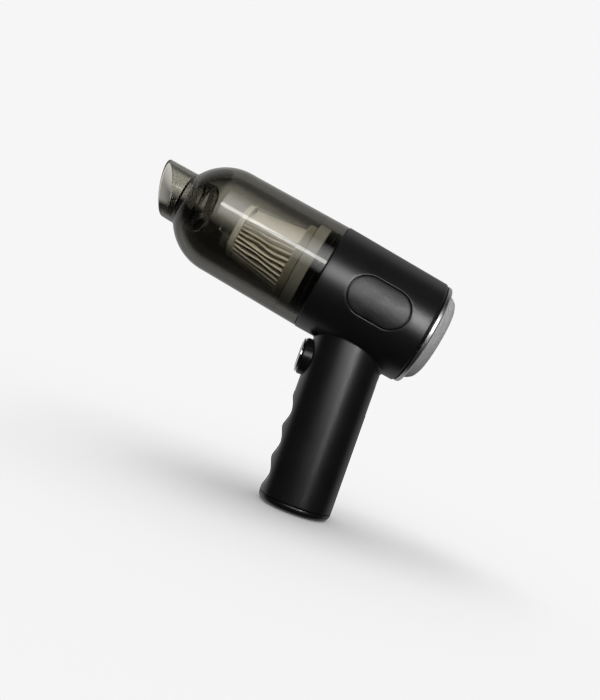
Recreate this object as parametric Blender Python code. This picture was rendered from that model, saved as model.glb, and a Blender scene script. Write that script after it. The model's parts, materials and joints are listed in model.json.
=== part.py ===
"""Cordless handheld vacuum cleaner, built as an assembly of separate pieces.

Frame: metres, +Z up, origin at the centre of the handle's flat foot, nozzle towards -X.
The handle stands upright. The barrel crosses its top with the nozzle end tilted up.
Barrel pieces are made about the barrel axis: their local X runs back from the cup joint,
and the button's pieces about the button's axis. Sizes below are in millimetres, and every
shape helper turns them into metres.
"""
import math

import bmesh
import bpy
from mathutils import Matrix, Vector

MM = 0.001
GAP = 0.3

# Barrel: distances along its axis count from the cup joint, positive towards the rear.
BARREL_TILT = 10.4
BARREL_AXIS_HEIGHT = 120.8
HANDLE_CROSSING = 27.8
BARREL_LENGTH = 62.4
BARREL_FRONT_R = 31.0
BARREL_REAR_R = 30.25
BARREL_BORE_R = 28.0
FRONT_LIP_R = 25.3
FRONT_LIP_END = 2.0
REAR_LIP_R = 27.3
REAR_LIP_START = 57.5
SIDES = 40
HANDLE_SIDES = 32
SMALL_SIDES = 16

# Handle
HANDLE_DEPTH = 41.4
HANDLE_WIDTH = 38.0
HANDLE_POWER = 2.25
HANDLE_TOP = 112.0
HANDLE_BORE_CENTRE = 1.0
HANDLE_BORE_DEPTH = 35.0
HANDLE_BORE_WIDTH = 33.6
FINGER_PITCH = 18.0
FINGER_WIDTH = 15.5
FINGER_DIP = 2.2
LOWEST_FINGER = 14.1
FINGER_COUNT = 3
FOOT_HEIGHT = 4.1
FOOT_BEVEL = 3.2
FOOT_PLUG_TOP = 7.6

# Dust cup
CUP_REAR_R = 30.72
CUP_FRONT_R = 29.9
CUP_STRAIGHT = 57.0
DOME_CENTRE = -61.1
CUP_BORE_R = 25.4
CUP_SOCKET_R = 25.75
CUP_SOCKET_DEPTH = 14.0
NOZZLE_R = 15.1
NOZZLE_BORE_R = 13.1
NOZZLE_TIP = -105.8
NOZZLE_HEEL = -95.7
INTAKE_END = -75.0

# Filter
FILTER_FRONT = -53.2
FILTER_FRONT_R = 15.6
FILTER_REAR_R = 21.3
MEDIA_FRONT = -49.3
MEDIA_REAR = -19.0
PLEATS = 30
PLEAT_DEPTH = 2.4
PAPER = 0.7
PANEL_CENTRE = 66.0
PANEL_HALF = 49.0
CAP_REAR = -49.6
CAP_PLATE = 1.6
CAP_RIM_R = 13.9

# Power button, about its own axis
BUTTON_HEIGHT = 81.2
COLLAR_R = 10.4
COLLAR_FRONT = -23.9
COLLAR_REAR = -15.4
BUTTON_FACE = -25.5
BUTTON_R = 7.65

# Side panels
PANEL_LENGTH = 34.3
PANEL_WIDTH = 21.0
PANEL_MIDDLE = 33.0
PANEL_SKIN = 1.1
POCKET_DEPTH = 1.5

# Motor
MOTOR_R = 13.85
MOTOR_FRONT = 24.5
MOTOR_REAR = 52.5
SHAFT_R = 1.0
WEB_PLACES = (27.5, 49.0)
WEB_HALF = 1.0
WEB_BORE_R = 17.1
BOSS_R = 3.1
BOSS_OFFSET = 22.2
BOSS_REACH = 15.8
SCREW_R = 1.0
SCREW_HOLE_R = 1.25
SCREW_HEAD_R = 2.0
SCREW_SINK_R = 2.3

# Battery
CELL_R = 8.15
CELL_LENGTH = 65.0
CELL_BOTTOM = 9.5
CELL_PITCH = 16.6
BATTERY_X = 1.6

# Base screws
FOOT_SCREW_X = 1.0
FOOT_SCREW_Y = 13.8

LOOKS = {
    "housing_black": ((0.018, 0.018, 0.019), 0.40, 0.0),
    "panel_black": ((0.022, 0.022, 0.023), 0.55, 0.0),
    "trim_black": ((0.014, 0.014, 0.015), 0.25, 0.0),
    "chrome": ((0.80, 0.80, 0.81), 0.12, 1.0),
    "silver": ((0.75, 0.75, 0.76), 0.25, 1.0),
    "grey_plastic": ((0.30, 0.30, 0.31), 0.45, 0.0),
    "smoked_clear": ((0.20, 0.19, 0.16), 0.05, 0.0),
    "filter_beige": ((0.45, 0.43, 0.36), 0.60, 0.0),
    "filter_paper": ((0.62, 0.58, 0.48), 0.90, 0.0),
    "gasket_grey": ((0.28, 0.28, 0.27), 0.75, 0.0),
    "rubber": ((0.03, 0.03, 0.03), 0.80, 0.0),
    "foam": ((0.05, 0.05, 0.05), 0.95, 0.0),
    "steel": ((0.55, 0.55, 0.56), 0.35, 1.0),
    "magnet": ((0.16, 0.16, 0.17), 0.60, 0.0),
    "copper": ((0.72, 0.38, 0.22), 0.35, 1.0),
    "carbon": ((0.05, 0.05, 0.055), 0.50, 0.0),
    "white_plastic": ((0.70, 0.70, 0.68), 0.40, 0.0),
    "cell_sleeve": ((0.10, 0.28, 0.50), 0.35, 0.0),
    "board_green": ((0.03, 0.20, 0.08), 0.45, 0.0),
    "lead_red": ((0.50, 0.03, 0.03), 0.50, 0.0),
    "lead_black": ((0.02, 0.02, 0.02), 0.50, 0.0),
}


# ---------------------------------------------------------------- helpers


def clear_scene():
    for item in list(bpy.data.objects):
        bpy.data.objects.remove(item, do_unlink=True)


def make_looks():
    """One Principled material for each entry of LOOKS."""
    for name, (colour, roughness, metallic) in LOOKS.items():
        material = bpy.data.materials.new(name)
        material.use_nodes = True
        shader = material.node_tree.nodes["Principled BSDF"]
        shader.inputs["Base Color"].default_value = (*colour, 1.0)
        shader.inputs["Roughness"].default_value = roughness
        shader.inputs["Metallic"].default_value = metallic
        if name == "smoked_clear":
            shader.inputs["Transmission Weight"].default_value = 1.0


def make_axis(name, location, tilt=0.0):
    """An empty that carries the pieces made about one axis."""
    axis = bpy.data.objects.new(name, None)
    axis.location = Vector(location) * MM
    axis.rotation_euler = (0.0, math.radians(tilt), 0.0)
    bpy.context.scene.collection.objects.link(axis)
    return axis


def solid(name, shape, parent=None, look=None):
    """A bmesh becomes a named object, smooth where it is round, sharp at its edges."""
    bmesh.ops.recalc_face_normals(shape, faces=shape.faces)
    mesh = bpy.data.meshes.new(name)
    shape.to_mesh(mesh)
    shape.free()
    mesh.shade_smooth()
    mesh.set_sharp_from_angle(angle=math.radians(32))
    item = bpy.data.objects.new(name, mesh)
    item.parent = parent
    bpy.context.scene.collection.objects.link(item)
    if look:
        mesh.materials.append(bpy.data.materials[look])
    return item


def tool(name, shape, parent=None):
    """A helper that only adds to, cuts or trims other objects."""
    item = solid(name, shape, parent)
    item.hide_render = True
    item.display_type = "WIRE"
    return item


def combine(target, operation, *tools):
    for helper in tools:
        modifier = target.modifiers.new(helper.name, "BOOLEAN")
        modifier.operation = operation
        modifier.solver = "EXACT"
        modifier.object = helper


def turned(shape, angle, axis="X"):
    """The same shape turned about one of its own axes."""
    bmesh.ops.transform(shape, matrix=Matrix.Rotation(angle, 4, axis), verts=shape.verts)
    return shape


def lathe(profile, sides=SIDES, twist=0.0):
    """Turn (along, radius) points about local X. A profile that starts and ends at radius 0
    is open along the axis, and any other one is a closed ring section. A twist, in degrees,
    keeps the facets of a tool from lining up with those of the piece that it works on."""
    shape = bmesh.new()
    points = [shape.verts.new((along * MM, 0.0, radius * MM)) for along, radius in profile]
    edges = [shape.edges.new(pair) for pair in zip(points, points[1:])]
    if profile[0][1] > 0:
        edges.append(shape.edges.new((points[-1], points[0])))
    bmesh.ops.spin(
        shape, geom=points + edges, axis=(1, 0, 0), cent=(0, 0, 0),
        angle=2 * math.pi, steps=sides, use_merge=True,
    )
    bmesh.ops.remove_doubles(shape, verts=shape.verts, dist=1e-7)
    return turned(shape, math.radians(twist))


def loft(rings):
    """Bridge rings of equally many points, and cap the first and the last."""
    shape = bmesh.new()
    loops = [[shape.verts.new(Vector(point) * MM) for point in ring] for ring in rings]
    for lower, upper in zip(loops, loops[1:]):
        for index in range(len(lower)):
            shape.faces.new((lower[index - 1], lower[index], upper[index], upper[index - 1]))
    shape.faces.new(loops[0])
    shape.faces.new(loops[-1])
    return shape


def rod(start, end, radius, sides=SMALL_SIDES):
    """A round bar between two points."""
    start = Vector(start) * MM
    end = Vector(end) * MM
    along = end - start
    turn = along.to_track_quat("Z", "Y").to_matrix().to_4x4()
    shape = bmesh.new()
    bmesh.ops.create_cone(
        shape, cap_ends=True, segments=sides, radius1=radius * MM, radius2=radius * MM,
        depth=along.length, matrix=Matrix.Translation((start + end) / 2) @ turn,
    )
    return shape


def block(low, high):
    """A box between two corners."""
    low = Vector(low) * MM
    high = Vector(high) * MM
    shape = bmesh.new()
    place = Matrix.Translation((low + high) / 2) @ Matrix.Diagonal((*(high - low), 1.0))
    bmesh.ops.create_cube(shape, size=1.0, matrix=place)
    return shape


def merged(shapes):
    """Several separate shapes in one bmesh."""
    whole = bmesh.new()
    for shape in shapes:
        carrier = bpy.data.meshes.new("carrier")
        shape.to_mesh(carrier)
        shape.free()
        whole.from_mesh(carrier)
        bpy.data.meshes.remove(carrier)
    return whole


def arc(centre, radius, start, end, steps):
    """Points of an arc in the profile plane, in degrees from the rear towards outwards."""
    angles = [math.radians(start + (end - start) * step / steps) for step in range(steps + 1)]
    return [(centre[0] + radius * math.cos(a), centre[1] + radius * math.sin(a)) for a in angles]


def barrel_radius(along):
    """Outer radius of the gently tapered barrel."""
    return BARREL_FRONT_R + (BARREL_REAR_R - BARREL_FRONT_R) * along / BARREL_LENGTH


def oval(half_x, half_y, height, centre_x=0.0):
    """A superelliptic ring of points at one height, the handle's cross-section."""
    ring = []
    for index in range(HANDLE_SIDES):
        turn = 2 * math.pi * index / HANDLE_SIDES
        cosine = math.cos(turn)
        sine = math.sin(turn)
        reach_x = math.copysign(abs(cosine) ** (2 / HANDLE_POWER), cosine)
        reach_y = math.copysign(abs(sine) ** (2 / HANDLE_POWER), sine)
        ring.append((centre_x + half_x * reach_x, half_y * reach_y, height))
    return ring


def handle_ring(inset, height):
    return oval(HANDLE_DEPTH / 2 - inset, HANDLE_WIDTH / 2 - inset, height)


def bore_ring(inset, height):
    return oval(HANDLE_BORE_DEPTH / 2 - inset, HANDLE_BORE_WIDTH / 2 - inset, height, HANDLE_BORE_CENTRE)


def racetrack(length, width, side, depth):
    """A round-ended ring of points in the barrel's side view, at one distance from the axis."""
    radius = width / 2
    reach = length / 2 - radius
    ring = []
    steps = 8
    for end, first in ((reach, -90), (-reach, 90)):
        for step in range(steps + 1):
            angle = math.radians(first + 180 * step / steps)
            along = PANEL_MIDDLE + end + radius * math.cos(angle)
            ring.append((along, side * depth, radius * math.sin(angle)))
    return ring


# ---------------------------------------------------------------- housing


def barrel_core(name, inset, barrel):
    """The barrel's tapered outside, taken in by a depth: trims what follows its surface."""
    reach = 5.0
    profile = [
        (-reach, 0.0),
        (-reach, barrel_radius(-reach) - inset),
        (BARREL_LENGTH + reach, barrel_radius(BARREL_LENGTH + reach) - inset),
        (BARREL_LENGTH + reach, 0.0),
    ]
    return tool(name, lathe(profile, SIDES, 2.3), barrel)


def housing_tools(barrel, button):
    """Everything that shapes both housing halves, as (operation, helper) pairs."""
    outside = loft([handle_ring(0.0, FOOT_HEIGHT + GAP), handle_ring(0.0, HANDLE_TOP)])
    handle = tool("handle_outside", outside)
    dip_r = ((FINGER_WIDTH / 2) ** 2 + FINGER_DIP**2) / (2 * FINGER_DIP)
    dip_x = -HANDLE_DEPTH / 2 + FINGER_DIP - dip_r
    heights = [LOWEST_FINGER + FINGER_PITCH * index for index in range(FINGER_COUNT)]
    dips = tool("finger_dips", merged([rod((dip_x, -30, z), (dip_x, 30, z), dip_r, 32) for z in heights]))
    barrel_bore = tool(
        "barrel_bore",
        lathe([
            (-1.0, 0.0), (-1.0, FRONT_LIP_R), (FRONT_LIP_END, FRONT_LIP_R),
            (FRONT_LIP_END, BARREL_BORE_R), (REAR_LIP_START, BARREL_BORE_R),
            (REAR_LIP_START, REAR_LIP_R), (BARREL_LENGTH + 1, REAR_LIP_R), (BARREL_LENGTH + 1, 0.0),
        ], SIDES, 3.1),
        barrel,
    )
    handle_bore = tool("handle_bore", loft([bore_ring(0.0, 1.0), bore_ring(0.0, 104.0)]))
    webs = [motor_web(place, barrel) for place in WEB_PLACES]
    bosses = tool("barrel_bosses", merged([
        rod((s, -BOSS_REACH, v), (s, BOSS_REACH, v), BOSS_R, 12)
        for s in WEB_PLACES for v in (-BOSS_OFFSET, BOSS_OFFSET)
    ]), barrel)
    foot_bosses = tool("foot_bosses", merged([
        rod((FOOT_SCREW_X, y, FOOT_PLUG_TOP + GAP), (FOOT_SCREW_X, y, 18.0), 3.4, 10)
        for y in (-FOOT_SCREW_Y, FOOT_SCREW_Y)
    ]))
    screw_holes = tool("screw_holes", merged([
        rod((s, -12.0, v), (s, 12.0, v), SCREW_HOLE_R, 8)
        for s in WEB_PLACES for v in (-BOSS_OFFSET, BOSS_OFFSET)
    ]), barrel)
    screw_sinks = tool("screw_sinks", merged([
        rod((s, 10.5, v), (s, 34.0, v), SCREW_SINK_R, 12)
        for s in WEB_PLACES for v in (-BOSS_OFFSET, BOSS_OFFSET)
    ]), barrel)
    foot_holes = tool("foot_holes", merged([
        rod((FOOT_SCREW_X, y, 5.0), (FOOT_SCREW_X, y, 17.0), SCREW_HOLE_R, 8)
        for y in (-FOOT_SCREW_Y, FOOT_SCREW_Y)
    ]))
    button_hole = tool("button_hole", rod((-32, 0, 0), (-11.5, 0, 0), COLLAR_R + GAP, 28), button)
    charge_slot = tool("charge_slot", loft([charge_ring(x, 0.45) for x in (12.0, 26.0)]))
    pockets = [panel_pocket(side, barrel) for side in (-1, 1)]
    steps = [("UNION", handle), ("DIFFERENCE", dips)]
    steps += [("DIFFERENCE", barrel_bore), ("DIFFERENCE", handle_bore)]
    steps += [("UNION", web) for web in webs]
    steps += [("UNION", bosses), ("UNION", foot_bosses)]
    cuts = (screw_holes, screw_sinks, foot_holes, button_hole, charge_slot, *pockets)
    steps += [("DIFFERENCE", cut) for cut in cuts]
    return steps


def motor_web(place, barrel):
    """A wall across the barrel that holds a motor mount, with windows for the air."""
    low = place - WEB_HALF
    high = place + WEB_HALF
    rim = BARREL_BORE_R + 0.8
    disc = lathe([(low, WEB_BORE_R), (low, rim), (high, rim), (high, WEB_BORE_R)], 24, 0.9)
    web = tool(f"motor_web_{int(place)}", disc, barrel)
    windows = []
    for angle in (-45, 0, 45, 135, 180, 225):
        across = 22.6 * math.cos(math.radians(angle))
        up = 22.6 * math.sin(math.radians(angle))
        windows.append(rod((low - 1, across, up), (high + 1, across, up), 4.2, 8))
    combine(web, "DIFFERENCE", tool(f"web_windows_{int(place)}", merged(windows), barrel))
    return web


def panel_pocket(side, barrel):
    """The shallow racetrack pocket for one side panel."""
    grown = 2 * GAP
    rings = [racetrack(PANEL_LENGTH + grown, PANEL_WIDTH + grown, side, depth) for depth in (20.0, 36.0)]
    pocket = tool(f"pocket_{'left' if side < 0 else 'right'}", loft(rings), barrel)
    combine(pocket, "DIFFERENCE", bpy.data.objects["pocket_floor"])
    return pocket


def make_housing(barrel, button):
    """Two halves of the pistol-shaped housing, parted on the plane Y = 0."""
    barrel_core("pocket_floor", POCKET_DEPTH, barrel)
    profile = [
        (GAP / 2, 0.0), (GAP / 2, BARREL_FRONT_R - 0.5), (0.6, BARREL_FRONT_R),
        (BARREL_LENGTH - 1.4, barrel_radius(BARREL_LENGTH - 1.4)),
        (BARREL_LENGTH - 0.4, BARREL_REAR_R - 0.45), (BARREL_LENGTH, BARREL_REAR_R - 1.3), (BARREL_LENGTH, 0.0),
    ]
    steps = housing_tools(barrel, button)
    for side, name in ((-1, "housing_left"), (1, "housing_right")):
        half = solid(name, lathe(profile, 48, 1.7), barrel, "housing_black")
        for operation, helper in steps:
            combine(half, operation, helper)
        inner, outer = sorted((side * GAP / 2, side * 60.0))
        keep = tool(f"{name}_keep", block((-150, inner, -50), (150, outer, 220)))
        combine(half, "INTERSECT", keep)


def make_side_panels(barrel):
    """Racetrack inlays that follow the barrel's surface."""
    outside = barrel_core("panel_outside", 0.05, barrel)
    inside = barrel_core("panel_inside", PANEL_SKIN, barrel)
    for side, name in ((-1, "side_panel_left"), (1, "side_panel_right")):
        rings = [racetrack(PANEL_LENGTH, PANEL_WIDTH, side, depth) for depth in (21.0, 35.0)]
        panel = solid(name, loft(rings), barrel, "panel_black")
        combine(panel, "INTERSECT", outside)
        combine(panel, "DIFFERENCE", inside)


def make_handle_foot():
    """The bevelled cap under the handle, with a lip inside it and two screw posts."""
    rings = []
    for step in range(4):
        angle = math.radians(90 * step / 3)
        rings.append(handle_ring(FOOT_BEVEL * (1 - math.sin(angle)), FOOT_BEVEL * (1 - math.cos(angle))))
    rings.append(handle_ring(0.0, FOOT_HEIGHT))
    foot = solid("handle_base_cap", loft(rings), None, "housing_black")
    lip = tool("foot_lip", loft([bore_ring(0.35, FOOT_HEIGHT - 1), bore_ring(0.35, FOOT_PLUG_TOP)]))
    hollow = tool("foot_hollow", loft([bore_ring(2.2, 3.2), bore_ring(2.2, FOOT_PLUG_TOP + 2)]))
    posts = tool("foot_posts", merged([
        rod((FOOT_SCREW_X, y, 2.0), (FOOT_SCREW_X, y, FOOT_PLUG_TOP - 0.1), 2.6, 10)
        for y in (-FOOT_SCREW_Y, FOOT_SCREW_Y)
    ]))
    holes = tool("foot_post_holes", merged([
        rod((FOOT_SCREW_X, y, -1.0), (FOOT_SCREW_X, y, 9.0), SCREW_HOLE_R, 8)
        for y in (-FOOT_SCREW_Y, FOOT_SCREW_Y)
    ]))
    sinks = tool("foot_sinks", merged([
        rod((FOOT_SCREW_X, y, -1.0), (FOOT_SCREW_X, y, 2.6), SCREW_SINK_R, 12)
        for y in (-FOOT_SCREW_Y, FOOT_SCREW_Y)
    ]))
    combine(foot, "UNION", lip)
    combine(foot, "DIFFERENCE", hollow)
    combine(foot, "UNION", posts)
    combine(foot, "DIFFERENCE", holes, sinks)


def screw_shape(length):
    """A pan-head screw about local X: the head's face looks to +X, the shank to -X."""
    head = 1.5
    return lathe([
        (-length, 0.0), (-length, 0.4), (-length + 1.2, SCREW_R), (0.0, SCREW_R),
        (0.0, SCREW_HEAD_R), (head * 0.5, SCREW_HEAD_R), (head, SCREW_HEAD_R - 0.7), (head, 0.0),
    ], 10)


def make_screws(barrel):
    """Four screws across the barrel from the right, and two up through the foot."""
    number = 0
    for place in WEB_PLACES:
        for height in (-BOSS_OFFSET, BOSS_OFFSET):
            number += 1
            shape = turned(screw_shape(20.0), math.pi / 2, "Z")
            screw = solid(f"housing_screw_{number}", shape, barrel, "steel")
            screw.location = Vector((place, 10.8, height)) * MM
    for number, across in ((1, -FOOT_SCREW_Y), (2, FOOT_SCREW_Y)):
        screw = solid(f"base_screw_{number}", turned(screw_shape(13.5), math.pi / 2, "Y"), None, "steel")
        screw.location = Vector((FOOT_SCREW_X, across, 2.3)) * MM


def make_rear(barrel):
    """Bright trim ring, vented grey exhaust cover and the foam behind it."""
    end = BARREL_LENGTH
    solid("rear_trim_ring", lathe([
        (end + GAP, 26.9), (end + GAP, 29.75), (end + 2.2, 29.4), (end + 2.8, 28.8), (end + 3.0, 26.4),
        (end + 1.6, 26.3), (end + 1.6, 24.9), (end - 6.0, 24.9), (end - 6.0, 26.9),
    ]), barrel, "silver")
    cover = solid("exhaust_cover", lathe([
        (end + 7.3, 0.0), (end + 7.3, 19.6), (end + 6.2, 21.6), (end + 3.9, 23.2), (end + 1.9, 23.6),
        (end + 1.9, 26.0), (end + 3.3, 26.0), (end + 5.5, 25.0), (end + 7.9, 23.2), (end + 9.1, 20.4),
        (end + 9.1, 0.0),
    ], 36), barrel, "grey_plastic")
    slots = []
    count = 12
    for index in range(count):
        slot = block((end + 5.0, -0.95, 8.0), (end + 11.0, 0.95, 17.6))
        slots.append(turned(slot, 2 * math.pi * index / count))
    combine(cover, "DIFFERENCE", tool("exhaust_slots", merged(slots), barrel))
    foam = [(end - 1.9, 0.0), (end - 1.9, 24.5), (end + 1.6, 24.5), (end + 1.6, 0.0)]
    solid("exhaust_foam", lathe(foam, 24), barrel, "foam")


# ---------------------------------------------------------------- cup and filter


def make_front_spigot(barrel):
    """The collar that the cup slides over, its nose inside the filter, and the seal."""
    nose = -12.5
    spigot = solid("front_spigot", lathe([
        (nose, 0.0), (nose, 18.5), (-7.0, 18.5), (-7.0, 25.0), (-4.6, 25.0), (-4.6, 23.9), (-2.2, 23.9),
        (-2.2, 25.0), (2.3, 25.0), (2.3, 27.7), (4.8, 27.7), (4.8, 22.4), (-5.0, 22.4), (-5.0, 16.7),
        (nose + 1.6, 16.7), (nose + 1.6, 0.0),
    ], 28), barrel, "trim_black")
    holes = [rod((nose - 2, 0, 0), (nose + 4, 0, 0), 4.6, 10)]
    for index in range(6):
        angle = 2 * math.pi * index / 6
        across = 11.0 * math.cos(angle)
        up = 11.0 * math.sin(angle)
        holes.append(rod((nose - 2, across, up), (nose + 4, across, up), 3.2, 8))
    combine(spigot, "DIFFERENCE", tool("spigot_holes", merged(holes), barrel))
    solid("cup_seal_ring", lathe(arc((-3.4, 24.78), 0.62, 0, 288, 4), 32), barrel, "rubber")


def make_dust_cup(barrel):
    """One clear moulding: cup, domed front, nozzle with a slanted mouth, intake tube."""
    dome_steps = 7
    inner_r = CUP_BORE_R - 0.1
    nozzle_root = 180 - math.degrees(math.asin((NOZZLE_R + 1.2) / CUP_FRONT_R))
    intake_root = 180 - math.degrees(math.asin(NOZZLE_R / inner_r))
    outer = [(-GAP / 2, CUP_SOCKET_R), (-GAP / 2, CUP_REAR_R - 0.3)]
    outer += [(-0.5, CUP_REAR_R), (-CUP_STRAIGHT, CUP_FRONT_R)]
    outer += arc((DOME_CENTRE, 0.0), CUP_FRONT_R, 90, nozzle_root, dome_steps)
    neck_s = DOME_CENTRE - math.sqrt(CUP_FRONT_R**2 - NOZZLE_R**2)
    outer += [(neck_s - 0.9, NOZZLE_R + 0.15), (NOZZLE_TIP - 3, NOZZLE_R - 0.15)]
    inner = [(NOZZLE_TIP - 3, NOZZLE_BORE_R), (INTAKE_END, NOZZLE_BORE_R), (INTAKE_END, NOZZLE_R - 0.2)]
    inner += arc((DOME_CENTRE, 0.0), inner_r, intake_root, 90, dome_steps - 1)
    inner += [(-CUP_SOCKET_DEPTH, CUP_BORE_R), (-CUP_SOCKET_DEPTH, CUP_SOCKET_R)]
    shape = lathe(outer + inner)
    cut_mouth(shape)
    solid("dust_cup", shape, barrel, "smoked_clear")


def cut_mouth(shape):
    """Slice the nozzle on its slanted plane, and close the wall between the two rims."""
    middle = Vector(((NOZZLE_TIP + NOZZLE_HEEL) / 2, 0.0, 0.0)) * MM
    slant = math.atan2(NOZZLE_HEEL - NOZZLE_TIP, 2 * NOZZLE_R)
    normal = Vector((-math.cos(slant), 0.0, -math.sin(slant)))
    everything = list(shape.verts) + list(shape.edges) + list(shape.faces)
    cut = bmesh.ops.bisect_plane(shape, geom=everything, plane_co=middle, plane_no=normal, clear_outer=True)
    rims = [item for item in cut["geom_cut"] if isinstance(item, bmesh.types.BMEdge)]
    bmesh.ops.bridge_loops(shape, edges=rims)


def media_radius(along):
    """Outer radius of the pleated cone."""
    share = (along - FILTER_FRONT) / (MEDIA_REAR - FILTER_FRONT)
    return FILTER_FRONT_R + (FILTER_REAR_R - FILTER_FRONT_R) * share


def around(angle, radius, along):
    """A barrel point at an angle from the left side towards the top."""
    return (along, -radius * math.cos(math.radians(angle)), radius * math.sin(math.radians(angle)))


def media_ring(along):
    """One closed C-shaped pleat section, from the panel's top edge round to its lower edge."""
    start = PANEL_CENTRE + PANEL_HALF + 2.0
    sweep = 360 - 2 * PANEL_HALF - 4.0
    outer = []
    inner = []
    for index in range(2 * PLEATS + 1):
        angle = start + sweep * index / (2 * PLEATS)
        radius = media_radius(along) - 0.3 - (PLEAT_DEPTH if index % 2 else 0.0)
        outer.append(around(angle, radius, along))
        inner.append(around(angle, radius - PAPER, along))
    return outer + inner[::-1]


def panel_section(along, radius):
    """Four corners of the flat panel, narrower on the inside."""
    half = math.radians(PANEL_HALF)
    out = radius * math.cos(half)
    wide = radius * math.sin(half)
    corners = []
    for depth, width in ((out, wide), (out, -wide), (out - 1.3, -wide + 1.3), (out - 1.3, wide - 1.3)):
        reach = math.hypot(depth, width)
        angle = PANEL_CENTRE + math.degrees(math.atan2(width, depth))
        corners.append(around(angle, reach, along))
    return corners


def make_filter(barrel):
    """Conical filter: front cap, flat panel, ribs and base ring in one frame, then the
    pleated paper and the grey gasket that seats on the spigot."""
    frame = solid("filter_frame", lathe([
        (-18.7, 16.2), (-18.7, 22.0), (-14.1, 22.3), (-14.1, 20.6), (-7.5, 20.6), (-7.5, 18.8),
        (-17.2, 18.8), (-17.2, 16.2),
    ], 32), barrel, "filter_beige")
    front = tool("filter_front_cap", lathe([
        (FILTER_FRONT, 0.0), (FILTER_FRONT, 14.6), (FILTER_FRONT + 0.5, 15.2), (CAP_REAR, 15.9),
        (CAP_REAR, CAP_RIM_R), (FILTER_FRONT + CAP_PLATE, CAP_RIM_R - 0.4), (FILTER_FRONT + CAP_PLATE, 0.0),
    ], 32), barrel)
    panel_ends = ((FILTER_FRONT + CAP_PLATE - 0.3, 15.3), (-17.6, 21.4))
    sections = [panel_section(along, radius) for along, radius in panel_ends]
    panel = tool("filter_panel", loft(sections), barrel)
    ribs = []
    for angle in (160.0, 255.0, 350.0):
        rings = []
        for along, low, high in ((FILTER_FRONT + 0.9, 9.6, 11.8), (-18.0, 16.5, 17.5)):
            corners = ((low, -0.8), (high, -0.8), (high, 0.8), (low, 0.8))
            rings.append([(along, side, radius) for radius, side in corners])
        ribs.append(turned(loft(rings), math.radians(angle - 90.0) * -1))
    combine(frame, "UNION", front, panel, tool("filter_ribs", merged(ribs), barrel))
    solid("filter_media", loft([media_ring(MEDIA_FRONT), media_ring(MEDIA_REAR)]), barrel, "filter_paper")
    solid("filter_gasket", lathe([
        (-13.8, 20.9), (-13.8, 24.3), (-13.4, 24.8), (-7.3, 24.8), (-7.3, 20.9),
    ], 32), barrel, "gasket_grey")


# ---------------------------------------------------------------- fan and motor


def blade(inner_r, outer_r, sweep, front, rear, thickness):
    """One curved vane standing along the axis between two radii."""
    steps = 3
    near = []
    far = []
    for step in range(steps + 1):
        share = step / steps
        radius = inner_r + (outer_r - inner_r) * share
        angle = math.radians(sweep * share**1.3)
        half = thickness / (2 * radius)
        near.append((radius * math.cos(angle - half), radius * math.sin(angle - half)))
        far.append((radius * math.cos(angle + half), radius * math.sin(angle + half)))
    outline = near + far[::-1]
    return loft([[(along, y, z) for y, z in outline] for along in (front, rear)])


def make_fan(barrel):
    shroud = [(6.0, 9.5), (6.0, 27.2), (21.0, 27.2), (21.0, 25.8), (7.4, 25.8), (7.4, 9.5)]
    solid("fan_shroud", lathe(shroud, 32), barrel, "white_plastic")
    hub = [(9.0, 1.2), (9.0, 3.4), (15.6, 4.6), (15.6, 23.0), (16.8, 23.0), (16.8, 1.2)]
    impeller = solid("impeller", lathe(hub, 24), barrel, "white_plastic")
    count = 9
    turns = [2 * math.pi * index / count for index in range(count)]
    vanes = [turned(blade(4.0, 22.4, 62, 9.6, 16.0, 0.9), turn) for turn in turns]
    combine(impeller, "UNION", tool("impeller_vanes", merged(vanes), barrel))
    disc = [(17.6, 2.2), (17.6, 21.4), (18.8, 21.4), (18.8, 17.0)]
    disc += [(23.2, 17.0), (23.2, 15.4), (18.8, 15.4), (18.8, 2.2)]
    diffuser = solid("diffuser", lathe(disc, 24), barrel, "grey_plastic")
    count = 11
    turns = [2 * math.pi * index / count for index in range(count)]
    guides = [turned(blade(20.6, 25.4, -14, 17.9, 22.6, 1.0), turn) for turn in turns]
    combine(diffuser, "UNION", tool("diffuser_vanes", merged(guides), barrel))


def magnet_shape(middle):
    """A curved magnet tile on one side of the armature."""
    rings = []
    for along in (28.5, 45.5):
        steps = 6
        angles = [middle - 62 + 124 * step / steps for step in range(steps + 1)]
        outer = [around(angle, 12.5, along) for angle in angles]
        inner = [around(angle, 9.7, along) for angle in angles[::-1]]
        rings.append(outer + inner)
    return loft(rings)


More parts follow.
